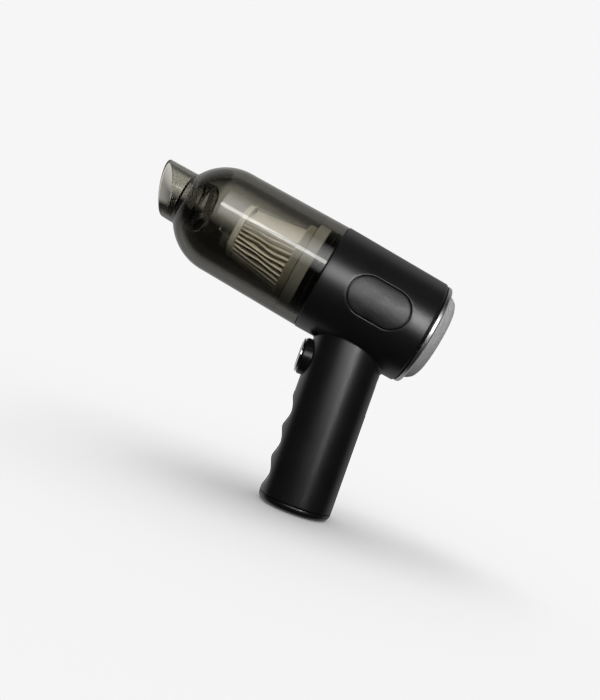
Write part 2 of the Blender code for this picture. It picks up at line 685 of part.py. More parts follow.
def make_motor(barrel):
    bore = SHAFT_R + 0.15
    solid("motor_can", lathe([
        (MOTOR_FRONT, 3.6), (MOTOR_FRONT, MOTOR_R - 0.6), (MOTOR_FRONT + 0.6, MOTOR_R),
        (MOTOR_REAR, MOTOR_R),
        (MOTOR_REAR, MOTOR_R - 1), (MOTOR_FRONT + 1, MOTOR_R - 1), (MOTOR_FRONT + 1, 3.6),
    ], 24), barrel, "steel")
    solid("motor_end_bell", lathe([
        (50.4, 11.2), (50.4, 12.5), (52.8, 12.5), (52.8, MOTOR_R), (54.4, MOTOR_R), (54.4, 6.0), (57.2, 6.0),
        (57.2, 3.6), (53.4, 3.6), (53.4, 11.2),
    ], 24), barrel, "white_plastic")
    solid("motor_shaft", lathe([
        (8.4, 0.0), (8.4, 0.8), (8.7, SHAFT_R), (57.8, SHAFT_R), (58.1, 0.8), (58.1, 0.0),
    ], 10), barrel, "steel")
    for name, start in (("bearing_front", 24.2), ("bearing_rear", 54.2)):
        ring = [(start, bore), (start, 3.3), (start + 2.6, 3.3), (start + 2.6, bore)]
        solid(name, lathe(ring, 12), barrel, "steel")
    core = [(29.5, bore), (29.5, 9.1), (44.5, 9.1), (44.5, bore)]
    armature = solid("armature", lathe(core, 20), barrel, "steel")
    slots = [turned(block((28, -0.8, 5.0), (46, 0.8, 10.0)), 2 * math.pi * index / 5) for index in range(5)]
    combine(armature, "DIFFERENCE", tool("armature_slots", merged(slots), barrel))
    solid("commutator", lathe([(46.4, bore), (46.4, 3.4), (50.4, 3.4), (50.4, bore)], 12), barrel, "copper")
    for name, sign in (("upper", 1), ("lower", -1)):
        solid(f"magnet_{name}", magnet_shape(90 * sign), barrel, "magnet")
        low, high = sorted((sign * 3.7, sign * 9.0))
        solid(f"brush_{name}", block((47.2, -1.6, low), (49.8, 1.6, high)), barrel, "carbon")
    for name, place in (("front", WEB_PLACES[0]), ("rear", WEB_PLACES[1])):
        ring = [
            (place - 2.4, MOTOR_R + GAP), (place - 2.4, 18.4), (place - WEB_HALF - GAP, 18.4),
            (place - WEB_HALF - GAP, WEB_BORE_R - GAP), (place + 2.4, WEB_BORE_R - GAP), (place + 2.4, MOTOR_R + GAP),
        ]
        solid(f"motor_mount_{name}", lathe(ring, 24), barrel, "rubber")


# ---------------------------------------------------------------- button


def make_button(button):
    """Collar, chrome ring and sprung cap, about the button's own axis."""
    solid("button_collar", lathe([
        (COLLAR_FRONT, 8.8), (COLLAR_FRONT, COLLAR_R - 0.8), (COLLAR_FRONT + 0.9, COLLAR_R),
        (COLLAR_REAR, COLLAR_R), (COLLAR_REAR, 3.4), (COLLAR_REAR - 1.2, 3.4), (COLLAR_REAR - 1.2, 8.8),
    ], 28), button, "trim_black")
    solid("button_ring", lathe([
        (-22.7, 7.95), (-22.7, 8.5), (-24.2, 8.5), (-24.2, 9.7), (-24.6, 9.7), (-25.2, 8.7), (-25.2, 7.95),
    ], 28), button, "chrome")
    solid("button_cap", lathe([
        (-12.6, 0.0), (-12.6, 2.5), (-21.2, 2.5), (-21.2, 8.4), (-22.4, 8.4), (-22.4, BUTTON_R),
        (BUTTON_FACE + 0.4, BUTTON_R), (BUTTON_FACE, BUTTON_R - 0.5), (BUTTON_FACE + 0.15, 5.0),
        (BUTTON_FACE + 0.3, 0.0),
    ], 28), button, "trim_black")
    make_spring(button)


def make_spring(button):
    """Compression spring between the cap and the collar's shoulder."""
    wire = 0.3
    radius = 5.4
    turns = 3.0
    start = -20.85
    end = COLLAR_REAR - 1.2 - 0.35
    steps = 36
    curve = bpy.data.curves.new("button_spring", "CURVE")
    curve.dimensions = "3D"
    line = curve.splines.new("POLY")
    line.points.add(steps)
    for index, point in enumerate(line.points):
        share = index / steps
        angle = 2 * math.pi * turns * share
        along = start + wire + (end - start - 2 * wire) * share
        point.co = (along * MM, radius * math.cos(angle) * MM, radius * math.sin(angle) * MM, 1.0)
    curve.bevel_depth = wire * MM
    curve.bevel_resolution = 0
    curve.use_fill_caps = True
    curve.materials.append(bpy.data.materials["steel"])
    spring = bpy.data.objects.new("button_spring", curve)
    spring.parent = button
    bpy.context.scene.collection.objects.link(spring)


def make_switch(button):
    """The push switch that the button's stem meets, and its plunger."""
    plunger = [(-12.3, 0.0), (-12.3, 1.2), (-9.3, 1.2), (-9.3, 0.0)]
    solid("switch_plunger", lathe(plunger, 14), button, "white_plastic")
    body = solid("power_switch", block((-11.0, -3.1, -3.1), (-6.9, 3.1, 3.1)), button, "trim_black")
    combine(body, "DIFFERENCE", tool("switch_bore", rod((-12, 0, 0), (-7.5, 0, 0), 1.5, 14), button))


# ---------------------------------------------------------------- battery and boards


def charge_ring(along, grown):
    """The round-cornered outline of the charging socket, seen from behind."""
    half = 4.45 + grown
    tall = 1.6 + grown
    corner = 1.2
    ring = []
    for y, z, first in ((half, tall, 0), (-half, tall, 90), (-half, -tall, 180), (half, -tall, 270)):
        for step in range(4):
            angle = math.radians(first + 30 * step)
            across = y - math.copysign(corner, y) + corner * math.cos(angle)
            up = z - math.copysign(corner, z) + corner * math.sin(angle)
            ring.append((along, across, 80.2 + up))
    return ring


def make_electrics():
    """Two cells with their holders, the two boards and the charging socket."""
    top = CELL_BOTTOM + CELL_LENGTH
    for name, sign in (("front", -1), ("rear", 1)):
        across = BATTERY_X + sign * CELL_PITCH / 2
        shape = turned(lathe([
            (0.0, 0.0), (0.0, CELL_R - 0.4), (0.5, CELL_R), (63.2, CELL_R), (63.7, CELL_R - 0.5),
            (63.7, 3.0), (CELL_LENGTH, 3.0), (CELL_LENGTH, 0.0),
        ], 16), -math.pi / 2, "Y")
        cell = solid(f"battery_cell_{name}", shape, None, "cell_sleeve")
        cell.location = Vector((across, 0.0, CELL_BOTTOM)) * MM
    for name, low, high, arm_low, arm_high in (
        ("battery_tray", 8.0, CELL_BOTTOM - GAP, 8.0, 17.0),
        ("battery_cap", top + GAP, top + 1.6, top - 8.0, top + 1.6),
    ):
        plate = block((BATTERY_X - 15.0, -8.3, low), (BATTERY_X + 15.0, 8.3, high))
        holder = solid(name, plate, None, "white_plastic")
        arms = [
            block((BATTERY_X - 5.0, side * 8.9 - 0.7, arm_low), (BATTERY_X + 5.0, side * 8.9 + 0.7, arm_high))
            for side in (-1, 1)
        ]
        combine(holder, "UNION", tool(f"{name}_arms", merged(arms)))
    solid("control_board", block((-6.6, -11.0, 77.6), (-5.0, 11.0, 91.0)), None, "board_green")
    solid("charge_board", block((3.0, -7.0, 76.7), (16.8, 7.0, 78.2)), None, "board_green")
    socket = solid("usb_socket", loft([charge_ring(x, 0.0) for x in (12.9, 20.1)]), None, "steel")
    combine(socket, "DIFFERENCE", tool("usb_hollow", loft([charge_ring(x, -0.35) for x in (14.0, 22.0)])))
    combine(socket, "UNION", tool("usb_tongue", block((13.5, -3.3, 79.85), (19.5, 3.3, 80.55))))


def make_lead(name, route, look):
    """A thin insulated lead on a smooth curve through its route's points."""
    curve = bpy.data.curves.new(name, "CURVE")
    curve.dimensions = "3D"
    curve.resolution_u = 3
    line = curve.splines.new("BEZIER")
    line.bezier_points.add(len(route) - 1)
    for point, place in zip(line.bezier_points, route):
        point.co = Vector(place) * MM
        point.handle_left_type = "AUTO"
        point.handle_right_type = "AUTO"
    curve.bevel_depth = 0.6 * MM
    curve.bevel_resolution = 1
    curve.use_fill_caps = True
    curve.materials.append(bpy.data.materials[look])
    lead = bpy.data.objects.new(name, curve)
    bpy.context.scene.collection.objects.link(lead)


def barrel_point(along, across, up):
    """A barrel position in the handle's frame."""
    tilt = math.radians(BARREL_TILT)
    back = along - HANDLE_CROSSING
    x = back * math.cos(tilt) + up * math.sin(tilt)
    z = BARREL_AXIS_HEIGHT - back * math.sin(tilt) + up * math.cos(tilt)
    return (x, across, z)


def make_leads():
    """Motor leads through the webs' windows, and battery leads to the control board."""
    for look, side in (("lead_red", -1), ("lead_black", 1)):
        route = [
            barrel_point(55.3, side * 4.0, -9.0), barrel_point(56.4, side * 9.5, -12.0),
            barrel_point(53.5, side * 15.0, -15.4), barrel_point(49.0, side * 16.0, -16.0),
            barrel_point(42.0, side * 15.0, -19.0), (9.0, side * 11.0, 93.5), (3.0, side * 8.5, 90.5),
            (-4.0, side * 8.0, 88.5),
        ]
        make_lead(f"motor_{look}", route, look)
    for look, side in (("lead_red", -1), ("lead_black", 1)):
        route = [
            (1.0, side * 6.0, 77.0), (0.8, side * 6.2, 80.5),
            (-1.5, side * 6.1, 83.2), (-4.2, side * 6.0, 84.0),
        ]
        make_lead(f"battery_{look}", route, look)


def build():
    clear_scene()
    make_looks()
    tilt = math.radians(BARREL_TILT)
    seam = (-HANDLE_CROSSING * math.cos(tilt), 0.0, BARREL_AXIS_HEIGHT + HANDLE_CROSSING * math.sin(tilt))
    barrel = make_axis("barrel_axis", seam, BARREL_TILT)
    button = make_axis("button_axis", (0.0, 0.0, BUTTON_HEIGHT))
    make_housing(barrel, button)
    make_side_panels(barrel)
    make_handle_foot()
    make_screws(barrel)
    make_rear(barrel)
    make_front_spigot(barrel)
    make_dust_cup(barrel)
    make_filter(barrel)
    make_fan(barrel)
    make_motor(barrel)
    make_button(button)
    make_switch(button)
    make_electrics()
    make_leads()


build()
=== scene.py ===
"""Looks of the cordless hand vacuum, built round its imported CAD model. Lengths are in millimetres
until place() or a mesh is made, and in metres after that."""
import math

import bmesh
import bpy
import numpy as np
from mathutils import Matrix, Quaternion, Vector
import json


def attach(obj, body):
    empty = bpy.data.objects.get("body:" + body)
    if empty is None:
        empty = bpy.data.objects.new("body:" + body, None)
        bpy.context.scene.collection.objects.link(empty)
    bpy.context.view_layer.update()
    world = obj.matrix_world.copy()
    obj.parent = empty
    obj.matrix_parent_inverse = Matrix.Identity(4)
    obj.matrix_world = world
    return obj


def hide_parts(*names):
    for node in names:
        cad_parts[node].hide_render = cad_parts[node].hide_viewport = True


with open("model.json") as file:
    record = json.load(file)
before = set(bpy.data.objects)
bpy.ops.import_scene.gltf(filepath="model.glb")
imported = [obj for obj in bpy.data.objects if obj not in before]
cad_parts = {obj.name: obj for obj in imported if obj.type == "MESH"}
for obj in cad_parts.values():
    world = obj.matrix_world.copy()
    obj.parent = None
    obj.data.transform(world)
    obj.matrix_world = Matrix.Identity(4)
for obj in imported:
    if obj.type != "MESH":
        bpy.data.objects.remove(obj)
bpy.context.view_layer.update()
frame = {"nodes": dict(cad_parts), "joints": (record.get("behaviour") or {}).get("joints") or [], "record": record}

MM = 0.001

# The barrel's own axes come from the rotor's joint: it turns on the barrel's axis, at the cup's seam.
spin = next(joint for joint in frame["joints"] if joint["name"] == "rotor_spin")
SEAM = Vector(spin["pos_m"])
ALONG = Vector(spin["axis"]).normalized()
ACROSS = Vector((0.0, 1.0, 0.0))
UP = ALONG.cross(ACROSS)
BARREL = Matrix((
    (ALONG.x, ACROSS.x, UP.x, SEAM.x),
    (ALONG.y, ACROSS.y, UP.y, SEAM.y),
    (ALONG.z, ACROSS.z, UP.z, SEAM.z),
    (0.0, 0.0, 0.0, 1.0),
))
BUTTON_HEIGHT = 81.2
BUTTON = Matrix.Translation((0.0, 0.0, BUTTON_HEIGHT * MM))
UPRIGHT = Matrix.Identity(4)

# Barrel
BARREL_LENGTH = 62.4
FRONT_R = 31.0
REAR_R = 30.25
BORE_R = 28.0
ROUND = 240

# Handle
HALF_DEPTH = 20.7
HALF_WIDTH = 19.0
SQUARENESS = 2.25
BORE_X = 1.0
BORE_HALF_DEPTH = 17.5
BORE_HALF_WIDTH = 16.8
HANDLE_FOOT = 4.4
FINGERS = (14.1, 32.1, 50.1)
DIP_R = 14.75
DIP_X = -33.25
SADDLE_FILLET = 1.3
CHARGE_HEIGHT = 80.2

# Screws: along the barrel and either side of its middle, and either side of the foot's middle
SCREW_S = (27.5, 49.0)
SCREW_V = 22.2
SCREW_DEPTH = 10.8
FOOT_SCREW_X = 1.0
FOOT_SCREW_Y = 13.8

# Side panels
PANEL_S = 33.0
PANEL_LENGTH = 34.3
PANEL_WIDTH = 21.0
PANEL_GAP = 0.3

# Cup
CUP_FRONT = -61.1
CUP_R = 29.9
CUP_BORE_R = 25.3
NOZZLE_R = 15.1
NOZZLE_BORE_R = 13.1
NOZZLE_TIP = -100.75
INTAKE_R = 14.9

# Filter
FILTER_FRONT = -53.2
FILTER_FRONT_R = 15.6
FILTER_REAR = -19.0
FILTER_REAR_R = 21.3
MEDIA_FRONT = -49.3
MEDIA_REAR = -19.1
MEDIA_START = 117.0
MEDIA_SWEEP = 258.0
PLEATS = 30
PLEAT_DEPTH = 2.4
PAPER = 0.55
FLAT_CENTRE = 62.5
FLAT_HALF = 45.5


# ---------------------------------------------------------------- meshes


def place(points, matrix):
    """Millimetre points in a part's own axes, as metres in the row frame."""
    turned = np.asarray(points, float) * MM @ np.array(matrix.to_3x3()).T
    return turned + np.array(matrix.translation)


def make(name, points, faces, normals=None, edge_angle=34.0):
    """A mesh object from metre points. Given normals shade it exactly, and else its sharp edges are found."""
    mesh = bpy.data.meshes.new(name)
    mesh.from_pydata([tuple(p) for p in points], [], faces)
    shape = bmesh.new()
    shape.from_mesh(mesh)
    bmesh.ops.recalc_face_normals(shape, faces=shape.faces)
    shape.to_mesh(mesh)
    shape.free()
    mesh.shade_smooth()
    if normals is None:
        mesh.set_sharp_from_angle(angle=math.radians(edge_angle))
    else:
        mesh.normals_split_custom_set_from_vertices([tuple(n) for n in normals])
    item = bpy.data.objects.new(name, mesh)
    bpy.context.scene.collection.objects.link(item)
    return item


def rounded(profile, radius=0.25, steps=4):
    """(along, radius[, corner radius]) points with every corner turned into an arc, and the outward normals.
    A profile that starts and ends on the axis is closed by it, and any other one is a ring's section."""
    points = [np.array(p[:2], float) for p in profile]
    radii = [p[2] if len(p) > 2 else radius for p in profile]
    ring = points[0][1] > 0
    count = len(points)
    area = sum(points[i - 1][0] * points[i][1] - points[i][0] * points[i - 1][1] for i in range(count))
    side = 1.0 if area > 0 else -1.0

    def normal(direction):
        return np.array((direction[1], -direction[0])) * side

    out = []
    for i, here in enumerate(points):
        if not ring and i in (0, count - 1):
            other = points[1] if i == 0 else points[-2]
            direction = (other - here) if i == 0 else (here - other)
            out.append((here, normal(direction / np.linalg.norm(direction))))
            continue
        before = here - points[i - 1]
        after = points[(i + 1) % count] - here
        len_before = np.linalg.norm(before)
        len_after = np.linalg.norm(after)
        d1 = before / len_before
        d2 = after / len_after
        turn = math.atan2(d1[0] * d2[1] - d1[1] * d2[0], float(d1 @ d2))
        n1 = normal(d1)
        if abs(turn) < math.radians(14):
            middle = n1 + normal(d2)
            out.append((here, middle / np.linalg.norm(middle)))
            continue
        reach = min(radii[i] * math.tan(abs(turn) / 2), 0.48 * len_before, 0.48 * len_after)
        bend = reach / math.tan(abs(turn) / 2)
        convex = 1.0 if turn * side > 0 else -1.0
        start = here - d1 * reach
        centre = start - n1 * bend * convex
        for step in range(steps + 1):
            angle = turn * step / steps
            cosine = math.cos(angle)
            sine = math.sin(angle)
            n = np.array((n1[0] * cosine - n1[1] * sine, n1[0] * sine + n1[1] * cosine))
            out.append((centre + n * bend * convex, n))
    return np.array([p for p, _ in out]), np.array([n for _, n in out]), ring


def refined(points, normals, ring, step):
    """Adds points on the long straight stretches of a rounded profile."""
    new_points = []
    new_normals = []
    count = len(points)
    for i in range(count if ring else count - 1):
        j = (i + 1) % count
        parts = max(1, int(np.linalg.norm(points[j] - points[i]) / step))
        for k in range(parts):
            t = k / parts
            n = normals[i] * (1 - t) + normals[j] * t
            new_points.append(points[i] * (1 - t) + points[j] * t)
            new_normals.append(n / np.linalg.norm(n))
    if not ring:
        new_points.append(points[-1])
        new_normals.append(normals[-1])
    return np.array(new_points), np.array(new_normals)


def revolve(points, normals, ring, sides, twist=0.0):
    """Turn a profile about local X. Returns points, faces and normals."""
    angles = 2 * np.pi * np.arange(sides) / sides + math.radians(twist)
    cosine = np.cos(angles)
    sine = np.sin(angles)
    verts = []
    norms = []
    rows = []
    for (s, r), (ns, nr) in zip(points, normals):
        if r < 1e-6:
            rows.append([len(verts)])
            verts.append((s, 0.0, 0.0))
            norms.append((math.copysign(1.0, ns) if ns else 1.0, 0.0, 0.0))
        else:
            rows.append(list(range(len(verts), len(verts) + sides)))
            verts.extend(zip(np.full(sides, s), r * cosine, r * sine))
            norms.extend(zip(np.full(sides, ns), nr * cosine, nr * sine))
    faces = []
    pairs = list(zip(rows, rows[1:])) + ([(rows[-1], rows[0])] if ring else [])
    for low, high in pairs:
        for i in range(sides):
            j = (i + 1) % sides
            if len(low) == 1 and len(high) == 1:
                continue
            if len(low) == 1:
                faces.append((low[0], high[j], high[i]))
            elif len(high) == 1:
                faces.append((low[i], low[j], high[0]))
            else:
                faces.append((low[i], low[j], high[j], high[i]))
    return np.array(verts), faces, np.array(norms)


def lathe(name, profile, matrix=BARREL, sides=None, radius=0.25, steps=4, exact=True, step=None,
          twist=0.0):
    """A turned piece with rounded corners. exact=False is for a piece to be cut."""
    points, normals, ring = rounded(profile, radius, steps)
    if step:
        points, normals = refined(points, normals, ring, step)
    verts, faces, norms = revolve(points, normals, ring, sides or ROUND, twist)
    turned = norms @ np.array(matrix.to_3x3()).T
    return make(name, place(verts, matrix), faces, turned if exact else None)


def skin(rings, closed):
    """Faces between rings of equally many points. closed also joins the last ring to the first."""
    size = len(rings[0])
    faces = []
    count = len(rings)
    for k in range(count if closed else count - 1):
        low = k * size
        high = (k + 1) % count * size
        faces += [(low + i, low + (i + 1) % size, high + (i + 1) % size, high + i) for i in range(size)]
    return faces


def tube(name, rings, matrix=UPRIGHT, closed=True, edge_angle=34.0):
    """A solid skinned over rings. Unless it closes on itself, its two ends are capped."""
    faces = skin(rings, closed)
    if not closed:
        size = len(rings[0])
        faces.append(tuple(range(size)))
        faces.append(tuple(range((len(rings) - 1) * size, len(rings) * size)))
    return make(name, place(np.concatenate(rings), matrix), faces, None, edge_angle)


def rod(name, start, end, radius, matrix=UPRIGHT, sides=48):
    """A round bar between two points, for cutting and joining."""
    line = Vector(end) - Vector(start)
    turn = line.to_track_quat("Z", "Y").to_matrix()
    angles = 2 * np.pi * (np.arange(sides) + 0.37) / sides
    circle = np.stack([radius * np.cos(angles), radius * np.sin(angles), np.zeros(sides)], 1)
    circle = circle @ np.array(turn).T
    return tube(name, [circle + np.array(start), circle + np.array(end)], matrix, False)


def joined(name, items):
    """Several objects in one, for use as one tool."""
    shape = bmesh.new()
    for item in items:
        shape.from_mesh(item.data)
    mesh = bpy.data.meshes.new(name)
    shape.to_mesh(mesh)
    shape.free()
    for item in items:
        bpy.data.objects.remove(item, do_unlink=True)
    whole = bpy.data.objects.new(name, mesh)
    bpy.context.scene.collection.objects.link(whole)
    return whole


def cut(item, operation, tool, keep=False, edge_angle=34.0):
    """One exact Boolean, applied."""
    modifier = item.modifiers.new("cut", "BOOLEAN")
    modifier.operation = operation
    modifier.solver = "EXACT"
    modifier.object = tool
    graph = bpy.context.evaluated_depsgraph_get()
    mesh = bpy.data.meshes.new_from_object(item.evaluated_get(graph))
    item.modifiers.clear()
    item.data = mesh
    mesh.shade_smooth()
    mesh.set_sharp_from_angle(angle=math.radians(edge_angle))
    if not keep:
        bpy.data.objects.remove(tool, do_unlink=True)
    return item


def finish_piece(item, body, slot, material, *nodes):
    """The piece rides its body, stands for its CAD nodes and takes its finish."""
    item.data.materials.clear()
    item.data.materials.append(material)
    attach(item, body)
    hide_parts(*nodes)
    return item


# ---------------------------------------------------------------- materials


def start_material(name):
    """A new material, its node tree and its Principled shader."""
    material = bpy.data.materials.new(name)
    material.use_nodes = True
    tree = material.node_tree
    return material, tree, tree.nodes["Principled BSDF"]


def node(tree, kind, inputs=None, **settings):
    """A node with its settings, its values, and its links where a value is a socket."""
    made = tree.nodes.new(kind)
    for key, value in settings.items():
        setattr(made, key, value)
    for key, value in (inputs or {}).items():
        if isinstance(value, bpy.types.NodeSocket):
            tree.links.new(value, made.inputs[key])
        else:
            made.inputs[key].default_value = value
    return made


def own_place(tree):
    """The piece's own coordinates in metres."""
    return node(tree, "ShaderNodeTexCoord").outputs["Object"]


def noise(tree, place_socket, size, detail=3.0, rough=0.55):
    """Noise whose features measure about size millimetres."""
    made = node(
        tree, "ShaderNodeTexNoise",
        {"Vector": place_socket, "Scale": 1.0 / (size * MM), "Detail": detail, "Roughness": rough},
    )
    return made.outputs["Fac"]


def spread(tree, socket, low, high, from_low=0.3, from_high=0.7):
    """The socket's range stretched to run from low to high."""
    made = node(
        tree, "ShaderNodeMapRange",
        {"Value": socket, "From Min": from_low, "From Max": from_high, "To Min": low, "To Max": high},
    )
    return made.outputs["Result"]


def two_tones(tree, socket, dark, light, from_low=0.3, from_high=0.7):
    """A colour that runs from dark to light as the socket rises."""
    made = node(tree, "ShaderNodeValToRGB", {"Fac": socket})
    ramp = made.color_ramp
    ramp.elements[0].position = from_low
    ramp.elements[0].color = (*dark, 1.0)
    ramp.elements[1].position = from_high
    ramp.elements[1].color = (*light, 1.0)
    return made.outputs["Color"]


def bump(tree, socket, height, strength=1.0, under=None):
    """Relief of a height in millimetres."""
    inputs = {"Height": socket, "Distance": height * MM, "Strength": strength}
    if under:
        inputs["Normal"] = under
    return node(tree, "ShaderNodeBump", inputs).outputs["Normal"]


def moulded(name, dark, light, rough, grain=0.18, relief=0.004, patch=9.0, metallic=0.0, **sockets):
    """A moulded, rubbed, sintered or turned surface: two tones in soft patches, roughness that
    wanders between two values, and a fine grain in relief."""
    material, tree, shader = start_material(name)
    own = own_place(tree)
    patches = noise(tree, own, patch)
    fine = noise(tree, own, grain, 2.0)
    tree.links.new(two_tones(tree, patches, dark, light), shader.inputs["Base Color"])
    mixed = node(tree, "ShaderNodeMath", {0: patches, 1: fine}, operation="MULTIPLY_ADD")
    mixed.inputs[2].default_value = 0.25
    tree.links.new(spread(tree, mixed.outputs[0], rough[0], rough[1], 0.35, 0.7), shader.inputs["Roughness"])
    tree.links.new(bump(tree, fine, relief), shader.inputs["Normal"])
    shader.inputs["Metallic"].default_value = metallic
    for key, value in sockets.items():
        shader.inputs[key.replace("_", " ")].default_value = value
    return material


def pebbled(name):
    """The side panels' black: rounded pebbles 0.4 mm across."""
    material, tree, shader = start_material(name)
    own = own_place(tree)
    cells = node(tree, "ShaderNodeTexVoronoi", {"Vector": own, "Scale": 1.0 / (0.42 * MM)}, feature="F1")
    patches = noise(tree, own, 7.0)
    domes = spread(tree, cells.outputs["Distance"], 1.0, 0.0, 0.05, 0.75)
    tones = two_tones(tree, patches, (0.016, 0.016, 0.017), (0.026, 0.026, 0.027))
    tree.links.new(tones, shader.inputs["Base Color"])
    tree.links.new(spread(tree, patches, 0.34, 0.44), shader.inputs["Roughness"])
    tree.links.new(bump(tree, domes, 0.035), shader.inputs["Normal"])
    shader.inputs["Specular IOR Level"].default_value = 1.0
    return material


def pleated(name):
    """Filter paper with painted shade in its folds: it darkens where the mesh's pointiness is low."""
    material, tree, shader = start_material(name)
    own = own_place(tree)
    shape = node(tree, "ShaderNodeNewGeometry")
    patches = noise(tree, own, 3.0)
    fibres = noise(tree, own, 0.12, 2.0)
    # Painted shade: pointiness, nudged a little by the patches, darkens the creases between the pleats and leaves
    # their ridges light.
    fold = {0: patches, 1: 0.06, 2: shape.outputs["Pointiness"]}
    depth = node(tree, "ShaderNodeMath", fold, operation="MULTIPLY_ADD")
    tones = two_tones(tree, depth.outputs[0], (0.38, 0.35, 0.28), (0.84, 0.81, 0.72), 0.46, 0.57)
    tree.links.new(tones, shader.inputs["Base Color"])
    tree.links.new(spread(tree, patches, 0.85, 0.95), shader.inputs["Roughness"])
    tree.links.new(bump(tree, fibres, 0.03), shader.inputs["Normal"])
    return material


def cage_plastic(name):
    """The filter frame's beige, greyer towards its base ring."""
    material, tree, shader = start_material(name)
    own = own_place(tree)
    along = node(tree, "ShaderNodeVectorMath", {0: own, 1: tuple(ALONG)}, operation="DOT_PRODUCT")
    middle = SEAM.dot(ALONG)
    patches = noise(tree, own, 9.0)
    edge = {0: patches, 1: 0.002, 2: along.outputs["Value"]}
    wander = node(tree, "ShaderNodeMath", edge, operation="MULTIPLY_ADD")
    share = spread(tree, wander.outputs[0], 0.0, 1.0, middle - 0.0185, middle - 0.0165)
    tones = two_tones(tree, share, (0.74, 0.72, 0.65), (0.30, 0.29, 0.24), 0.0, 1.0)
    tree.links.new(tones, shader.inputs["Base Color"])
    tree.links.new(spread(tree, patches, 0.5, 0.62), shader.inputs["Roughness"])
    tree.links.new(bump(tree, noise(tree, own, 0.18, 2.0), 0.004), shader.inputs["Normal"])
    return material


def smoked(name):
    """Smoke-tinted clear plastic, darker where its wall is seen edge on. Lamps shine through it."""
    material, tree, shader = start_material(name)
    own = own_place(tree)
    haze = noise(tree, own, 14.0)
    tones = two_tones(tree, haze, (0.47, 0.462, 0.42), (0.51, 0.502, 0.46))
    tree.links.new(tones, shader.inputs["Base Color"])
    tree.links.new(spread(tree, haze, 0.0, 0.02), shader.inputs["Roughness"])
    shader.inputs["Transmission Weight"].default_value = 1.0
    shader.inputs["IOR"].default_value = 1.49
    path = node(tree, "ShaderNodeLightPath")
    clear = node(tree, "ShaderNodeBsdfTransparent", {"Color": (0.95, 0.94, 0.91, 1.0)})
    mix = node(tree, "ShaderNodeMixShader", {
        "Fac": path.outputs["Is Shadow Ray"], 1: shader.outputs["BSDF"], 2: clear.outputs["BSDF"]})
    smoke = node(tree, "ShaderNodeVolumeAbsorption", {"Color": (0.5, 0.49, 0.46, 1.0), "Density": 170.0})
    output = tree.nodes["Material Output"]
    tree.links.new(mix.outputs["Shader"], output.inputs["Surface"])
    tree.links.new(smoke.outputs["Volume"], output.inputs["Volume"])
    return material


def grey(value, lift=0.0):
    """A grey whose blue is lifted a little."""
    return (value, value, value + lift)


# Finish: dark tone, light tone, roughness from and to, and what differs from the usual relief
FINISHES = {
    "housing_black": (grey(0.012, 0.0005), grey(0.016, 0.0005), (0.30, 0.34), {
        "grain": 0.16, "relief": 0.003, "patch": 16.0, "Specular_IOR_Level": 1.0}),
    "trim_black": (grey(0.010, 0.001), grey(0.015, 0.001), (0.22, 0.30), {"relief": 0.002}),
    "chrome": (grey(0.74, 0.01), grey(0.84, 0.01), (0.09, 0.16), {
        "grain": 0.3, "relief": 0.001, "metallic": 1.0}),
    "silver": (grey(0.78, 0.01), grey(0.88, 0.01), (0.30, 0.38), {
        "grain": 0.12, "relief": 0.002, "metallic": 1.0}),
    "grey_plastic": (grey(0.50, 0.01), grey(0.58, 0.01), (0.38, 0.46), {"relief": 0.003}),
    "gasket_grey": ((0.30, 0.30, 0.28), (0.36, 0.36, 0.34), (0.6, 0.75), {"relief": 0.006}),
    "rubber": (grey(0.02), grey(0.035), (0.7, 0.85), {"relief": 0.006}),
    "foam": (grey(0.02), grey(0.07), (0.9, 1.0), {"grain": 0.6, "relief": 0.4, "patch": 0.8}),
    "steel": (grey(0.48, 0.01), grey(0.60, 0.01), (0.25, 0.38), {"metallic": 1.0, "relief": 0.002}),
    "magnet": (grey(0.10, 0.01), grey(0.16, 0.01), (0.5, 0.65), {"relief": 0.01}),
    "copper": ((0.60, 0.26, 0.14), (0.75, 0.40, 0.24), (0.25, 0.4), {"metallic": 1.0, "relief": 0.003}),
    "carbon": (grey(0.03, 0.002), grey(0.06, 0.005), (0.5, 0.6), {"relief": 0.006}),
    "white_plastic": ((0.62, 0.62, 0.60), (0.72, 0.72, 0.70), (0.4, 0.5), {"relief": 0.004}),
    "cell_sleeve": ((0.06, 0.20, 0.40), (0.09, 0.26, 0.48), (0.25, 0.35), {"relief": 0.003}),
    "board_green": ((0.015, 0.13, 0.05), (0.03, 0.20, 0.08), (0.3, 0.45), {"relief": 0.004}),
    "lead_red": ((0.40, 0.02, 0.02), (0.52, 0.03, 0.03), (0.4, 0.5), {"relief": 0.003}),
    "lead_black": (grey(0.015), grey(0.025), (0.4, 0.5), {"relief": 0.003}),
}
MATERIALS = {
    "panel_black": pebbled("panel_black"),
    "smoked_clear": smoked("smoked_clear"),
    "filter_beige": cage_plastic("filter_beige"),
    "filter_paper": pleated("filter_paper"),
}
for finish, (dark_tone, light_tone, roughness, settings) in FINISHES.items():
    MATERIALS[finish] = moulded(finish, dark_tone, light_tone, roughness, **settings)
for entry in frame["record"]["subparts"]:
    carried = frame["nodes"][entry["node"]]
    carried.data.materials.clear()
    carried.data.materials.append(MATERIALS[entry["material_slot"]])


# ---------------------------------------------------------------- housing


def barrel_radius(s):
    """The barrel's outer radius at a place along it."""
    return FRONT_R + (REAR_R - FRONT_R) * s / BARREL_LENGTH


def oval(half_x, half_y, centre_x, count):
    """The superelliptic section of the handle, as x, y and the outward direction at each point."""
    turn = 2 * np.pi * np.arange(count) / count
    cosine = np.cos(turn)
    sine = np.sin(turn)
    x = half_x * np.sign(cosine) * np.abs(cosine) ** (2 / SQUARENESS)
    y = half_y * np.sign(sine) * np.abs(sine) ** (2 / SQUARENESS)
    out_x = np.sign(x) * np.abs(x / half_x) ** (SQUARENESS - 1) / half_x
    out_y = np.sign(y) * np.abs(y / half_y) ** (SQUARENESS - 1) / half_y
    length = np.hypot(out_x, out_y)
    return x + centre_x, y, out_x / length, out_y / length


